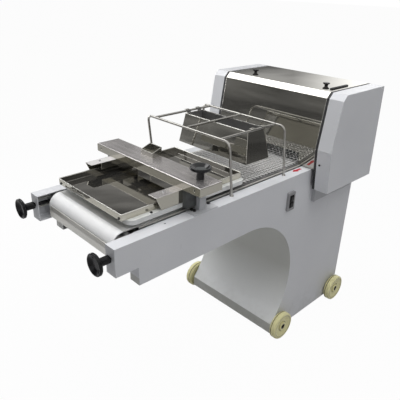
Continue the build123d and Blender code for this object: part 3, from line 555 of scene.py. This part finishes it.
def belt_white():
    """White cover over the front roller with flour dust; along the flat run painted shade, grey at first
    and near black further back.
    """
    clean = (0.96, 0.965, 0.97, 1.0)
    tracked = (0.89, 0.90, 0.91, 1.0)
    shade_grey = (0.50, 0.50, 0.49, 1.0)
    pale_grey = (0.86, 0.86, 0.84, 1.0)
    dark = (0.10, 0.10, 0.10, 1.0)
    flour_white = (0.93, 0.92, 0.90, 1.0)
    finish = Finish("white_belt_cover")
    weave = finish.noise(900.0, 2.0, (1.0, 0.35, 1.0))
    tracks = finish.step(finish.noise(24.0, 3.0, (0.04, 1.0, 0.04)), 0.45, 0.8)
    flour = finish.step(finish.noise(11.0, 5.0), 0.45, 0.75)
    # Painted shade behind the roller: grey in the gap under the board, paler further back, then near
    # black
    painted_shade = finish.mix(behind_roller(finish, BELT_SHADE_FADE), shade_grey, pale_grey)
    painted_shade = finish.mix(behind_roller(finish, BELT_DARK_SHADE), painted_shade, dark)
    cover = finish.mix(tracks, clean, tracked)
    colour = finish.mix(behind_roller(finish, BELT_FLAT), cover, painted_shade)
    return finish.surface({
        "Base Color": finish.mix(flour * 0.2, colour, flour_white),
        "Roughness": 0.38 + flour * 0.2,
        "Normal": finish.bump(weave, 0.15, 0.0004),
    })


def board_grey():
    """Planed pale board with stains."""
    clean = (0.74, 0.75, 0.74, 1.0)
    stained = (0.64, 0.65, 0.62, 1.0)
    finish = Finish("pale_board")
    planing = finish.noise(160.0, 3.0, (0.1, 1.0, 1.0))
    stains = finish.step(finish.noise(16.0, 4.0), 0.5, 0.8)
    return finish.surface({
        "Base Color": finish.mix(stains, clean, stained),
        "Roughness": 0.34 + planing * 0.14,
        "Normal": finish.bump(planing, 0.1, 0.0004),
    })


def black_rubber():
    """Edge rubber with some dust."""
    black = (0.018, 0.018, 0.020, 1.0)
    dusty = (0.05, 0.05, 0.05, 1.0)
    finish = Finish("black_edge_rubber")
    grain = finish.noise(800.0, 3.0)
    dust = finish.step(finish.noise(40.0, 5.0), 0.5, 0.8)
    return finish.surface({
        "Base Color": finish.mix(dust, black, dusty),
        "Roughness": 0.55 + dust * 0.2,
        "Normal": finish.bump(grain, 0.2, 0.0003),
    })


def black_plastic():
    """Moulded knobs and buttons, a little rubbed."""
    black = (0.006, 0.006, 0.007, 1.0)
    worn = (0.016, 0.016, 0.017, 1.0)
    finish = Finish("black_moulded_plastic")
    grain = finish.noise(1100.0, 2.0)
    rubbed = finish.step(finish.noise(50.0, 4.0), 0.45, 0.75)
    return finish.surface({
        "Base Color": finish.mix(rubbed, black, worn),
        "Roughness": 0.14 + rubbed * 0.12,
        "Specular IOR Level": 0.2,
        "Normal": finish.bump(grain, 0.05, 0.0002, 0.003),
    })


def shiny_plastic():
    """Polished black plastic, lighter where it lies level: flour dust and a painted sheen."""
    black = (0.005, 0.005, 0.006, 1.0)
    worn = (0.014, 0.014, 0.015, 1.0)
    dusty = (0.16, 0.17, 0.17, 1.0)
    finish = Finish("black_polished_plastic")
    rubbed = finish.step(finish.noise(50.0, 4.0), 0.45, 0.75)
    # Lighter on faces that look up: flour dust and painted sheen
    dust_and_sheen = finish.step(finish.part(finish.facing(), "Z"), 0.80, 0.97)
    return finish.surface({
        "Base Color": finish.mix(dust_and_sheen * 0.5, finish.mix(rubbed, black, worn), dusty),
        "Roughness": 0.05 + rubbed * 0.06,
        "Specular IOR Level": 0.32,
        "Normal": finish.bump(rubbed, 0.05, 0.0002, 0.002),
    })


def block_grey():
    """Sawn dark grey guide blocks, oily in places."""
    grey = (0.085, 0.092, 0.092, 1.0)
    oily = (0.045, 0.048, 0.048, 1.0)
    finish = Finish("dark_grey_block")
    sawn = finish.noise(300.0, 3.0, (1.0, 1.0, 0.2))
    oil = finish.step(finish.noise(40.0, 4.0), 0.45, 0.75)
    return finish.surface({
        "Base Color": finish.mix(oil, grey, oily),
        "Roughness": 0.34 + sawn * 0.16,
        "Normal": finish.bump(sawn, 0.12, 0.0004, 0.001),
    })


def switch_grey():
    """Grey moulded frame of the switch."""
    dark = (0.26, 0.26, 0.27, 1.0)
    light = (0.34, 0.34, 0.35, 1.0)
    finish = Finish("grey_switch_frame")
    grain = finish.noise(900.0, 2.0)
    patches = finish.noise(70.0)
    return finish.surface({
        "Base Color": finish.mix(patches, dark, light),
        "Roughness": 0.40 + patches * 0.12,
        "Normal": finish.bump(grain, 0.1, 0.0003),
    })


def wheel_cream(wheel):
    """Cream plastic, darkened by grime and painted shade in the tread groove, at the foot of the rim and
    round the hub, and near black in the bore as painted shade.
    """
    cream = (0.94, 0.89, 0.49, 1.0)
    dusty = (0.62, 0.56, 0.27, 1.0)
    grime_shade_brown = (0.13, 0.11, 0.06, 1.0)
    bore_shade_black = (0.045, 0.038, 0.020, 1.0)
    low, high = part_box(wheel)
    groove = low.y + TREAD_GROOVE if high.y > 0 else high.y - TREAD_GROOVE
    finish = Finish("cream_" + wheel)
    mould = finish.noise(300.0, 3.0)
    dirt = finish.step(finish.noise(45.0, 5.0), 0.48, 0.75)
    ahead = finish.axis("X") - (low.x + high.x) / 2
    above = finish.axis("Z") - (low.z + high.z) / 2
    radius = finish.math("SQRT", ahead * ahead + above * above)
    # Grime and painted shade at the foot of the rim, round the hub and in the tread groove
    rim_grime_shade = 1 - finish.step(finish.away(radius, RIM_FOOT), 0.001, 0.004)
    hub_grime_shade = 1 - finish.step(finish.away(radius, HUB_FOOT), 0.001, 0.0035)
    groove_grime_shade = 1 - finish.step(finish.away(finish.axis("Y"), groove), 0.0015, 0.003)
    grime_and_shade = finish.math("MAXIMUM", rim_grime_shade * 0.45 + hub_grime_shade * 0.65, groove_grime_shade * 0.8)
    # Painted shade in the bore, near black
    bore_shade = 1 - finish.step(radius, BORE_SHADE_RADIUS - 0.0004, BORE_SHADE_RADIUS + 0.0004)
    colour = finish.mix(dirt * 0.35, cream, dusty)
    colour = finish.mix(grime_and_shade, colour, grime_shade_brown)
    return finish.surface({
        "Base Color": finish.mix(bore_shade, colour, bore_shade_black),
        "Roughness": 0.34 + dirt * 0.25,
        "Normal": finish.bump(mould, 0.12, 0.0004),
    })


def arrow_red():
    """Red film, a little faded."""
    red = (0.48, 0.018, 0.035, 1.0)
    pale_red = (0.56, 0.035, 0.05, 1.0)
    finish = Finish("red_arrow_vinyl")
    faded = finish.noise(90.0, 3.0)
    return finish.surface({
        "Base Color": finish.mix(faded, red, pale_red),
        "Roughness": 0.35 + faded * 0.15,
    })


# Finishes by material slot
FINISHES = {
    "white_paint": white_paint(),
    "polished_steel": polished_steel(),
    "bright_rod": bright_rod(),
    "plain_steel": plain_steel(),
    "roller_steel": roller_steel(),
    "belt_white": belt_white(),
    "board_grey": board_grey(),
    "black_rubber": black_rubber(),
    "black_plastic": black_plastic(),
    "switch_grey": switch_grey(),
    "motor_iron": motor_iron(),
}
DARK_STEEL = black_steel()
STRIP_STEEL = pale_steel("pale_strip_steel", 0.30)
# Powder coat with painted shade in the arch and painted light on its foot
ARCH_SHADE_PAINT = white_paint("arch_coat_painted_shade", arch=True)

# Nodes whose own finish differs from the rest of their slot
OWN_FINISHES = {
    "near_side_panel": ARCH_SHADE_PAINT,
    "far_side_panel": ARCH_SHADE_PAINT,
    "arch_liner": ARCH_SHADE_PAINT,
    "rail_brackets": white_paint("bracket_powder_coat", 0.88),
    # Head plates darker: painted shade below the casings
    "head_plates": white_paint("head_coat_painted_shade", 0.70),
    "bridge": filmed_steel("bridge"),
    # Far ear whitened by a painted reflection
    "ears": filmed_steel("ears", 0.9),
    "tray": tray_steel(),
    "feed_hopper": hopper_steel(),
    "scraper_tray": pale_steel("pale_satin_steel", 0.85),
    "edge_strips": STRIP_STEEL,
    "guide_blocks": block_grey(),
    "near_lift_knob": shiny_plastic(),
    "body_screws": DARK_STEEL,
    "axles": DARK_STEEL,
}
for wheel_name in ("near_front_wheel", "far_front_wheel", "near_rear_wheel", "far_rear_wheel"):
    OWN_FINISHES[wheel_name] = wheel_cream(wheel_name)


def dress_nodes():
    """Give every carried-over node its own finish or that of its material slot."""
    for entry in frame["record"]["subparts"]:
        name = entry["node"]
        finish = OWN_FINISHES[name] if name in OWN_FINISHES else FINISHES[entry["material_slot"]]
        materials = frame["nodes"][name].data.materials
        materials.clear()
        materials.append(finish)


# Modelling helpers
def deselect():
    bpy.ops.object.select_all(action="DESELECT")


def edit():
    bpy.ops.object.mode_set(mode="EDIT")
    bpy.ops.mesh.select_mode(type="FACE")


def leave_edit():
    bpy.ops.object.mode_set(mode="OBJECT")


def pick_faces(test):
    """In edit mode, select the faces whose normal passes the test."""
    bpy.ops.mesh.select_all(action="DESELECT")
    mesh = bmesh.from_edit_mesh(bpy.context.object.data)
    for face in mesh.faces:
        if test(face.normal):
            face.select_set(True)
    bmesh.update_edit_mesh(bpy.context.object.data)


def join(pieces):
    deselect()
    for piece in pieces:
        piece.select_set(True)
    bpy.context.view_layer.objects.active = pieces[0]
    bpy.ops.object.join()


def round_wire(radius, steps):
    """Turn the edges of the active mesh into round wire."""
    bpy.ops.object.convert(target="CURVE")
    bpy.context.object.data.bevel_depth = radius
    bpy.context.object.data.bevel_resolution = steps
    bpy.ops.object.convert(target="MESH")
    bpy.ops.object.shade_smooth()
    return bpy.context.object


def rounded_bar(middle, sides, edge, steps):
    """A straight bar with rounded edges, left in edit mode."""
    deselect()
    bpy.ops.mesh.primitive_cube_add(size=1.0, location=middle, scale=sides)
    bpy.ops.object.transform_apply(location=False, rotation=False, scale=True)
    edit()
    bpy.ops.mesh.select_all(action="SELECT")
    bpy.ops.mesh.bevel(offset=edge, segments=steps, affect="EDGES")


def close_piece(name, finish, body):
    """Name the shaped piece, put its place into its mesh and hang it on its body."""
    leave_edit()
    bpy.ops.object.transform_apply(location=True, rotation=True, scale=True)
    piece = bpy.context.object
    piece.name = name
    piece.data.name = name
    piece.data.materials.clear()
    piece.data.materials.append(finish)
    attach(piece, body)
    return piece


# Curling net
def net_grid(direction, cells):
    """The lines of one direction of a flat grid, bent up and down in turn at their crossings."""
    deselect()
    bpy.ops.mesh.primitive_grid_add(x_subdivisions=cells, y_subdivisions=cells, size=cells * NET_PITCH)
    net = bpy.context.object
    edit()
    bpy.ops.mesh.select_mode(type="EDGE")
    bpy.ops.mesh.select_all(action="DESELECT")
    mesh = bmesh.from_edit_mesh(net.data)
    for edge in mesh.edges:
        run = edge.verts[1].co - edge.verts[0].co
        edge.select_set(abs(run[direction]) < NET_PITCH / 2)
    bmesh.update_edit_mesh(net.data)
    bpy.ops.mesh.delete(type="EDGE")
    leave_edit()
    for vertex in net.data.vertices:
        column = round(vertex.co.x / NET_PITCH + cells / 2)
        row = round(vertex.co.y / NET_PITCH + cells / 2)
        vertex.co.z = NET_CRIMP * (-1) ** (column + row + direction)
    return net


def trim_net(low_x, high_x, low_y, high_y):
    """Cut away what lies outside a rectangle."""
    cuts = (
        ((low_x, 0.0, 0.0), (-1.0, 0.0, 0.0)),
        ((high_x, 0.0, 0.0), (1.0, 0.0, 0.0)),
        ((0.0, low_y, 0.0), (0.0, -1.0, 0.0)),
        ((0.0, high_y, 0.0), (0.0, 1.0, 0.0)),
    )
    edit()
    for spot, outward in cuts:
        bpy.ops.mesh.select_all(action="SELECT")
        bpy.ops.mesh.bisect(plane_co=spot, plane_no=outward, clear_outer=True)
    leave_edit()


def net_strands(direction, low, high):
    """The wires of one slant, cut to the net's outline and bent up towards their rod."""
    climb_height = high.z - low.z - 2 * NET_WIRE - 2 * NET_CRIMP
    climb_length = math.hypot(NET_CLIMB, climb_height)
    flat_end = high.x - NET_CLIMB
    unrolled_end = flat_end + climb_length
    side = unrolled_end - low.x + high.y - low.y
    net = net_grid(direction, round(side / math.sqrt(2.0) / NET_PITCH))
    net.rotation_euler = (0.0, 0.0, math.radians(NET_SLANT))
    net.location = ((low.x + unrolled_end) / 2, (low.y + high.y) / 2, low.z + NET_WIRE + NET_CRIMP)
    bpy.ops.object.transform_apply(location=True, rotation=True, scale=True)
    trim_net(low.x + NET_WIRE, unrolled_end, low.y + NET_WIRE, high.y - NET_WIRE)
    for vertex in net.data.vertices:
        up = max(vertex.co.x - flat_end, 0.0) / climb_length
        vertex.co.x = min(vertex.co.x, flat_end) + NET_CLIMB * up
        vertex.co.z += climb_height * up ** NET_BEND
    return round_wire(NET_WIRE, NET_ROUNDING)


def woven_net():
    low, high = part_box("curl_net")
    join([net_strands(direction, low, high) for direction in (0, 1)])
    piece = close_piece("woven_net", net_wire(), "frame")
    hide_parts("curl_net")


# Red arrow, pointing the way the dough travels
def arrow_shaft(top):
    deselect()
    bpy.ops.mesh.primitive_plane_add(size=1.0)
    shaft = bpy.context.object
    for vertex in shaft.data.vertices:
        vertex.co.x = ARROW_TIP + (ARROW_HEAD_LENGTH if vertex.co.x < 0 else ARROW_LENGTH)
        vertex.co.y = ARROW_MIDDLE + math.copysign(ARROW_SHAFT_HALF, vertex.co.y)
        vertex.co.z = top
    return shaft


def arrow_head(top):
    deselect()
    bpy.ops.mesh.primitive_circle_add(vertices=3, radius=1.0, fill_type="NGON")
    head = bpy.context.object
    back = ARROW_TIP + ARROW_HEAD_LENGTH
    corners = (
        (ARROW_TIP, ARROW_MIDDLE, top),
        (back, ARROW_MIDDLE - ARROW_HEAD_HALF, top),
        (back, ARROW_MIDDLE + ARROW_HEAD_HALF, top),
    )
    for vertex, corner in zip(head.data.vertices, corners):
        vertex.co = corner
    return head


def direction_arrow():
    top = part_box("near_side_panel")[1].z
    join([arrow_shaft(top), arrow_head(top)])
    edit()
    pick_faces(lambda normal: normal.z < 0)
    bpy.ops.mesh.flip_normals()
    leave_edit()
    film = bpy.context.object.modifiers.new("film", "SOLIDIFY")
    film.thickness = ARROW_THICK
    film.offset = 1.0
    bpy.ops.object.modifier_apply(modifier=film.name)
    close_piece("direction_arrow", arrow_red(), "frame")


# Small fasteners that stand on the sheet metal
def socket_screw(name, spot, head, body, finish, facing=(0.0, 0.0, 1.0)):
    """A round screw head with a round socket, standing on the spot."""
    radius, height = head
    out = Vector(facing)
    deselect()
    bpy.ops.mesh.primitive_cylinder_add(
        vertices=24, radius=radius, depth=height, location=Vector(spot) + out * height / 2,
        rotation=out.to_track_quat("Z", "Y").to_euler(),
    )
    edit()
    pick_faces(lambda normal: normal.z > UPWARD)
    bpy.ops.mesh.bevel(offset=radius * HEAD_BEVEL, segments=2, affect="EDGES")
    pick_faces(lambda normal: normal.z > LEVEL)
    bpy.ops.mesh.inset(thickness=radius * SOCKET_RIM)
    bpy.ops.mesh.extrude_region_move(TRANSFORM_OT_translate={"value": (0.0, 0.0, -height * SOCKET_DEPTH)})
    close_piece(name, finish, body)


def carriage_screws():
    """A bright screw on each ear and a dark one at each side of the press board."""
    ear_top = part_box("ears")[1].z
    board_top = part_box("press_board")[1].z
    spots = (
        (EAR_SCREW_X, -EAR_SCREW_OUT, ear_top, FINISHES["plain_steel"]),
        (EAR_SCREW_X, EAR_SCREW_OUT, ear_top, FINISHES["plain_steel"]),
        (BOARD_SCREW_X, -BOARD_SCREW_OUT, board_top, DARK_STEEL),
        (BOARD_SCREW_X, BOARD_SCREW_OUT, board_top, DARK_STEEL),
    )
    for number, (x, y, z, finish) in enumerate(spots):
        socket_screw(f"carriage_screw_{number}", (x, y, z), CARRIAGE_HEAD, "carriage", finish)


def tray_screws():
    """One dark screw low at each end of the tray's front wall."""
    low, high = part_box("tray")
    forward = (-1.0, 0.0, 0.0)
    for side, y in (("near", low.y + TRAY_SCREW_INSET), ("far", high.y - TRAY_SCREW_INSET)):
        spot = (low.x, y, low.z + TRAY_SCREW_RISE)
        socket_screw(f"{side}_tray_screw", spot, TRAY_HEAD, "carriage", DARK_STEEL, forward)


def bracket_screws():
    """One screw at the front of each bracket foot, clear of the guide block above it."""
    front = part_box("rail_brackets")[0].x + BRACKET_SCREW_BACK
    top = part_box("near_side_panel")[1].z + BRACKET_FOOT
    for side, y in (("near", -BRACKET_SCREW_OUT), ("far", BRACKET_SCREW_OUT)):
        socket_screw(f"{side}_bracket_screw", (front, y, top), BRACKET_HEAD, "frame", DARK_STEEL)


# Bars inside the arms, above and below the tension screws, that guide the roller blocks
def guide_bar(name, low, high):
    """A straight bar with rounded edges between two corners."""
    rounded_bar((Vector(low) + Vector(high)) / 2, Vector(high) - Vector(low), GUIDE_EDGE, 2)
    close_piece(name, STRIP_STEEL, "frame")


def block_guides():
    block_low, block_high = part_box("roller_blocks")
    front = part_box("near_side_panel")[0].x + ARM_SHEET
    middle = (block_low.z + block_high.z) / 2
    for side, skin in (("near", block_low.y), ("far", block_high.y - GUIDE_DEPTH)):
        for level, z in (("low", middle - GUIDE_SPREAD - GUIDE_THICK), ("high", middle + GUIDE_SPREAD)):
            low = (front, skin, z)
            high = (block_low.x, skin + GUIDE_DEPTH, z + GUIDE_THICK)
            guide_bar(f"{side}_{level}_block_guide", low, high)


# Rolled hems along the sheet edges
def rolled_hem(name, low, high, height, radius, body, finish):
    """A rounded bead round a rectangle of sheet edges."""
    deselect()
    bpy.ops.mesh.primitive_plane_add(size=1.0)
    hem = bpy.context.object
    for vertex in hem.data.vertices:
        vertex.co.x = low[0] if vertex.co.x < 0 else high[0]
        vertex.co.y = low[1] if vertex.co.y < 0 else high[1]
        vertex.co.z = height
    edit()
    bpy.ops.mesh.select_all(action="SELECT")
    bpy.ops.mesh.bevel(offset=HEM_CORNER, segments=2, affect="VERTICES")
    bpy.ops.mesh.select_all(action="SELECT")
    bpy.ops.mesh.delete(type="ONLY_FACE")
    leave_edit()
    round_wire(radius, HEM_ROUNDING)
    close_piece(name, finish, body)


def rolled_hems():
    finish = bright_edge()
    tray_low, tray_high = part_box("tray")
    rolled_hem("tray_hem", tray_low, tray_high, tray_high.z, TRAY_HEM, "carriage", finish)
    rolled_hem("hopper_hem", HOPPER_LOW, HOPPER_HIGH, HOPPER_TOP, HOPPER_HEM, "frame", finish)


# Weld beads round the feet of the guard
def weld_bead(name, spot):
    deselect()
    bpy.ops.mesh.primitive_cylinder_add(vertices=20, radius=WELD_RADIUS, depth=WELD_HEIGHT, location=spot)
    bpy.ops.transform.translate(value=(0.0, 0.0, WELD_HEIGHT / 2))
    edit()
    pick_faces(lambda normal: normal.z > UPWARD)
    bpy.ops.transform.resize(value=(WELD_TAPER, WELD_TAPER, 1.0))
    bpy.ops.mesh.bevel(offset=WELD_EDGE, segments=3, affect="EDGES")
    leave_edit()
    bpy.ops.object.shade_smooth_by_angle(angle=math.radians(WELD_SMOOTH))
    close_piece(name, FINISHES["bright_rod"], "frame")


def guard_welds():
    rail_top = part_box("near_side_panel")[1].z
    hoop_low, hoop_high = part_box("guard_hoops")
    for row, x in enumerate(GUARD_FEET):
        for column, y in enumerate((hoop_low.y + GUARD_ROD, hoop_high.y - GUARD_ROD)):
            weld_bead(f"guard_weld_{row}_{column}", (x, y, rail_top))


# Rubber bar on the hood
def hood_bar():
    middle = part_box("near_casing")[1].z + HOOD_BAR_SIDES[2] / 2
    rounded_bar((HOOD_BAR_X, HOOD_BAR_Y, middle), HOOD_BAR_SIDES, HOOD_BAR_EDGE, 3)
    leave_edit()
    bpy.ops.object.shade_smooth_by_angle(angle=math.radians(HOOD_BAR_SMOOTH))
    close_piece("hood_bar", FINISHES["black_rubber"], "hood")


# Floor, room, lamps and cards
def floor_finish():
    """Grey ground that takes the shadow, lifted to white where it is seen."""
    finish = Finish("pale_floor")
    seen = finish.seen_share(FLOOR_LIFT, FLOOR_IN_MIRRORS)
    ground = finish.node("ShaderNodeBsdfDiffuse", {}, {"Color": FLOOR_GREY})
    glow = finish.node("ShaderNodeEmission", {}, {"Color": WHITE, "Strength": 1.0})
    return finish.show(finish.node("ShaderNodeMixShader", {}, {0: seen, 1: ground, 2: glow}))


def lay_floor():
    deselect()
    bpy.ops.mesh.primitive_plane_add(size=FLOOR_SIDE)
    floor = bpy.context.object
    floor.name = "studio_floor"
    floor.data.materials.append(floor_finish())


def fill_room():
    """A room that is white to look at and lights the machine weakly from all sides."""
    world = bpy.data.worlds.new("studio_room")
    world.use_nodes = True
    room = Nodes(world.node_tree)
    strength = ROOM_FILL + room.seen_share(1.0, 1.0) * (1 - ROOM_FILL)
    back = room.tree.nodes["Background"]
    back.inputs["Color"].default_value = WHITE
    room.tree.links.new(strength.socket, back.inputs["Strength"])
    bpy.context.scene.world = world


def hang_light(name, place, aim, side, power, mirrored=True):
    light = bpy.data.lights.new(name, "AREA")
    light.shape = "RECTANGLE"
    light.size = side[0]
    light.size_y = side[1]
    light.energy = power
    lamp = bpy.data.objects.new(name, light)
    bpy.context.scene.collection.objects.link(lamp)
    lamp.location = place
    lamp.rotation_euler = (Vector(aim) - Vector(place)).to_track_quat("-Z", "Y").to_euler()
    lamp.visible_glossy = mirrored


def card_finish(corners, place, across, bright, dark, glow):
    """A card that darkens with height, in bands, and turns white towards its two ends."""
    heights = [corner.z for corner in corners]
    half = max((corner - place).dot(across) for corner in corners)
    finish = Finish("dark_card")
    bands = finish.step(finish.noise(1.4, 3.0, (0.5, 0.5, 5.0)), 0.38, 0.62)
    rise = finish.step(finish.axis("Z"), min(heights), max(heights))
    level = (bright + rise * (dark - bright)) * (BAND_DARK + bands * BAND_SPAN) * (1 / glow)
    sideways = (finish.axis("X") - place.x) * across.x + (finish.axis("Y") - place.y) * across.y
    ends = finish.step(sideways * sideways, (CARD_PLAIN * half) ** 2, half ** 2)
    shade = finish.mix(level + ends * (1 - level), BLACK, WARM_WHITE)
    return finish.show(finish.node("ShaderNodeEmission", {}, {"Color": shade, "Strength": glow}))


def stand_card(name, place, aim, side, bright, dark, glow=1.0):
    """A card outside the picture that only the polished steel mirrors."""
    place = Vector(place)
    turn = (Vector(aim) - place).to_track_quat("Z", "Y").to_matrix()
    deselect()
    bpy.ops.mesh.primitive_plane_add(size=1.0)
    card = bpy.context.object
    for vertex in card.data.vertices:
        flat = Vector((vertex.co.x * side[0], vertex.co.y * side[1], 0.0))
        vertex.co = turn @ flat + place
    corners = [vertex.co for vertex in card.data.vertices]
    card.name = name
    card.data.materials.append(card_finish(corners, place, turn.col[0], bright, dark, glow))
    card.visible_camera = False
    card.visible_diffuse = False
    card.visible_shadow = False


def hang_lights():
    hang_light(
        "overhead_softbox", place=(-0.4, -0.4, 7.0), aim=(-0.1, 0.0, 0.6), side=(7.0, 7.0),
        power=285.0, mirrored=False,
    )
    hang_light(
        "front_softbox", place=(-2.2, 0.4, 3.0), aim=(-0.4, 0.0, 0.7), side=(1.6, 1.6), power=5.5
    )
    hang_light(
        "far_softbox", place=(-0.25, 1.5, 3.0), aim=(0.1, 0.0, 0.3), side=(1.0, 1.8), power=22.0
    )
    hang_light(
        "side_softbox", place=(-0.3, -2.6, 3.2), aim=(0.0, 0.0, 0.6), side=(1.8, 1.8),
        power=25.0, mirrored=False,
    )
    hang_light(
        "low_softbox", place=(-0.5, 2.4, 1.1), aim=(0.1, 0.0, 0.1), side=(1.0, 0.6), power=14.0
    )


def stand_cards():
    stand_card(
        "card_front", place=(-2.0, 1.8, 1.15), aim=(0.4, 0.0, 0.95), side=(3.6, 1.1),
        bright=0.20, dark=0.08,
    )
    stand_card(
        "card_back", place=(1.6, 3.2, 2.4), aim=(-0.4, 0.0, 0.8), side=(7.0, 2.5),
        bright=0.36, dark=0.14, glow=2.4,
    )
    stand_card(
        "card_near", place=(1.7, -2.6, 2.1), aim=(-0.2, 0.0, 0.8), side=(4.0, 1.7),
        bright=0.30, dark=0.12,
    )
    stand_card(
        "card_side", place=(2.2, -2.2, 0.6), aim=(0.1, -0.1, 0.9), side=(2.4, 1.1),
        bright=0.10, dark=0.05,
    )


def set_camera():
    lens = bpy.data.cameras.new("photo_camera")
    lens.sensor_width = SENSOR_WIDTH
    lens.lens = CAMERA_LENS
    camera = bpy.data.objects.new("photo_camera", lens)
    bpy.context.scene.collection.objects.link(camera)
    turn = (
        Matrix.Rotation(-math.radians(CAMERA_YAW), 3, "Z")
        @ Matrix.Rotation(math.radians(90.0 + CAMERA_PITCH), 3, "X")
        @ Matrix.Rotation(math.radians(CAMERA_ROLL), 3, "Z")
    )
    camera.location = CAMERA_PLACE
    camera.rotation_euler = turn.to_euler()
    bpy.context.scene.camera = camera


dress_nodes()
woven_net()
direction_arrow()
carriage_screws()
tray_screws()
bracket_screws()
block_guides()
rolled_hems()
guard_welds()
hood_bar()

lay_floor()
fill_room()
hang_lights()
stand_cards()
set_camera()
bpy.context.scene.view_settings.view_transform = "Standard"
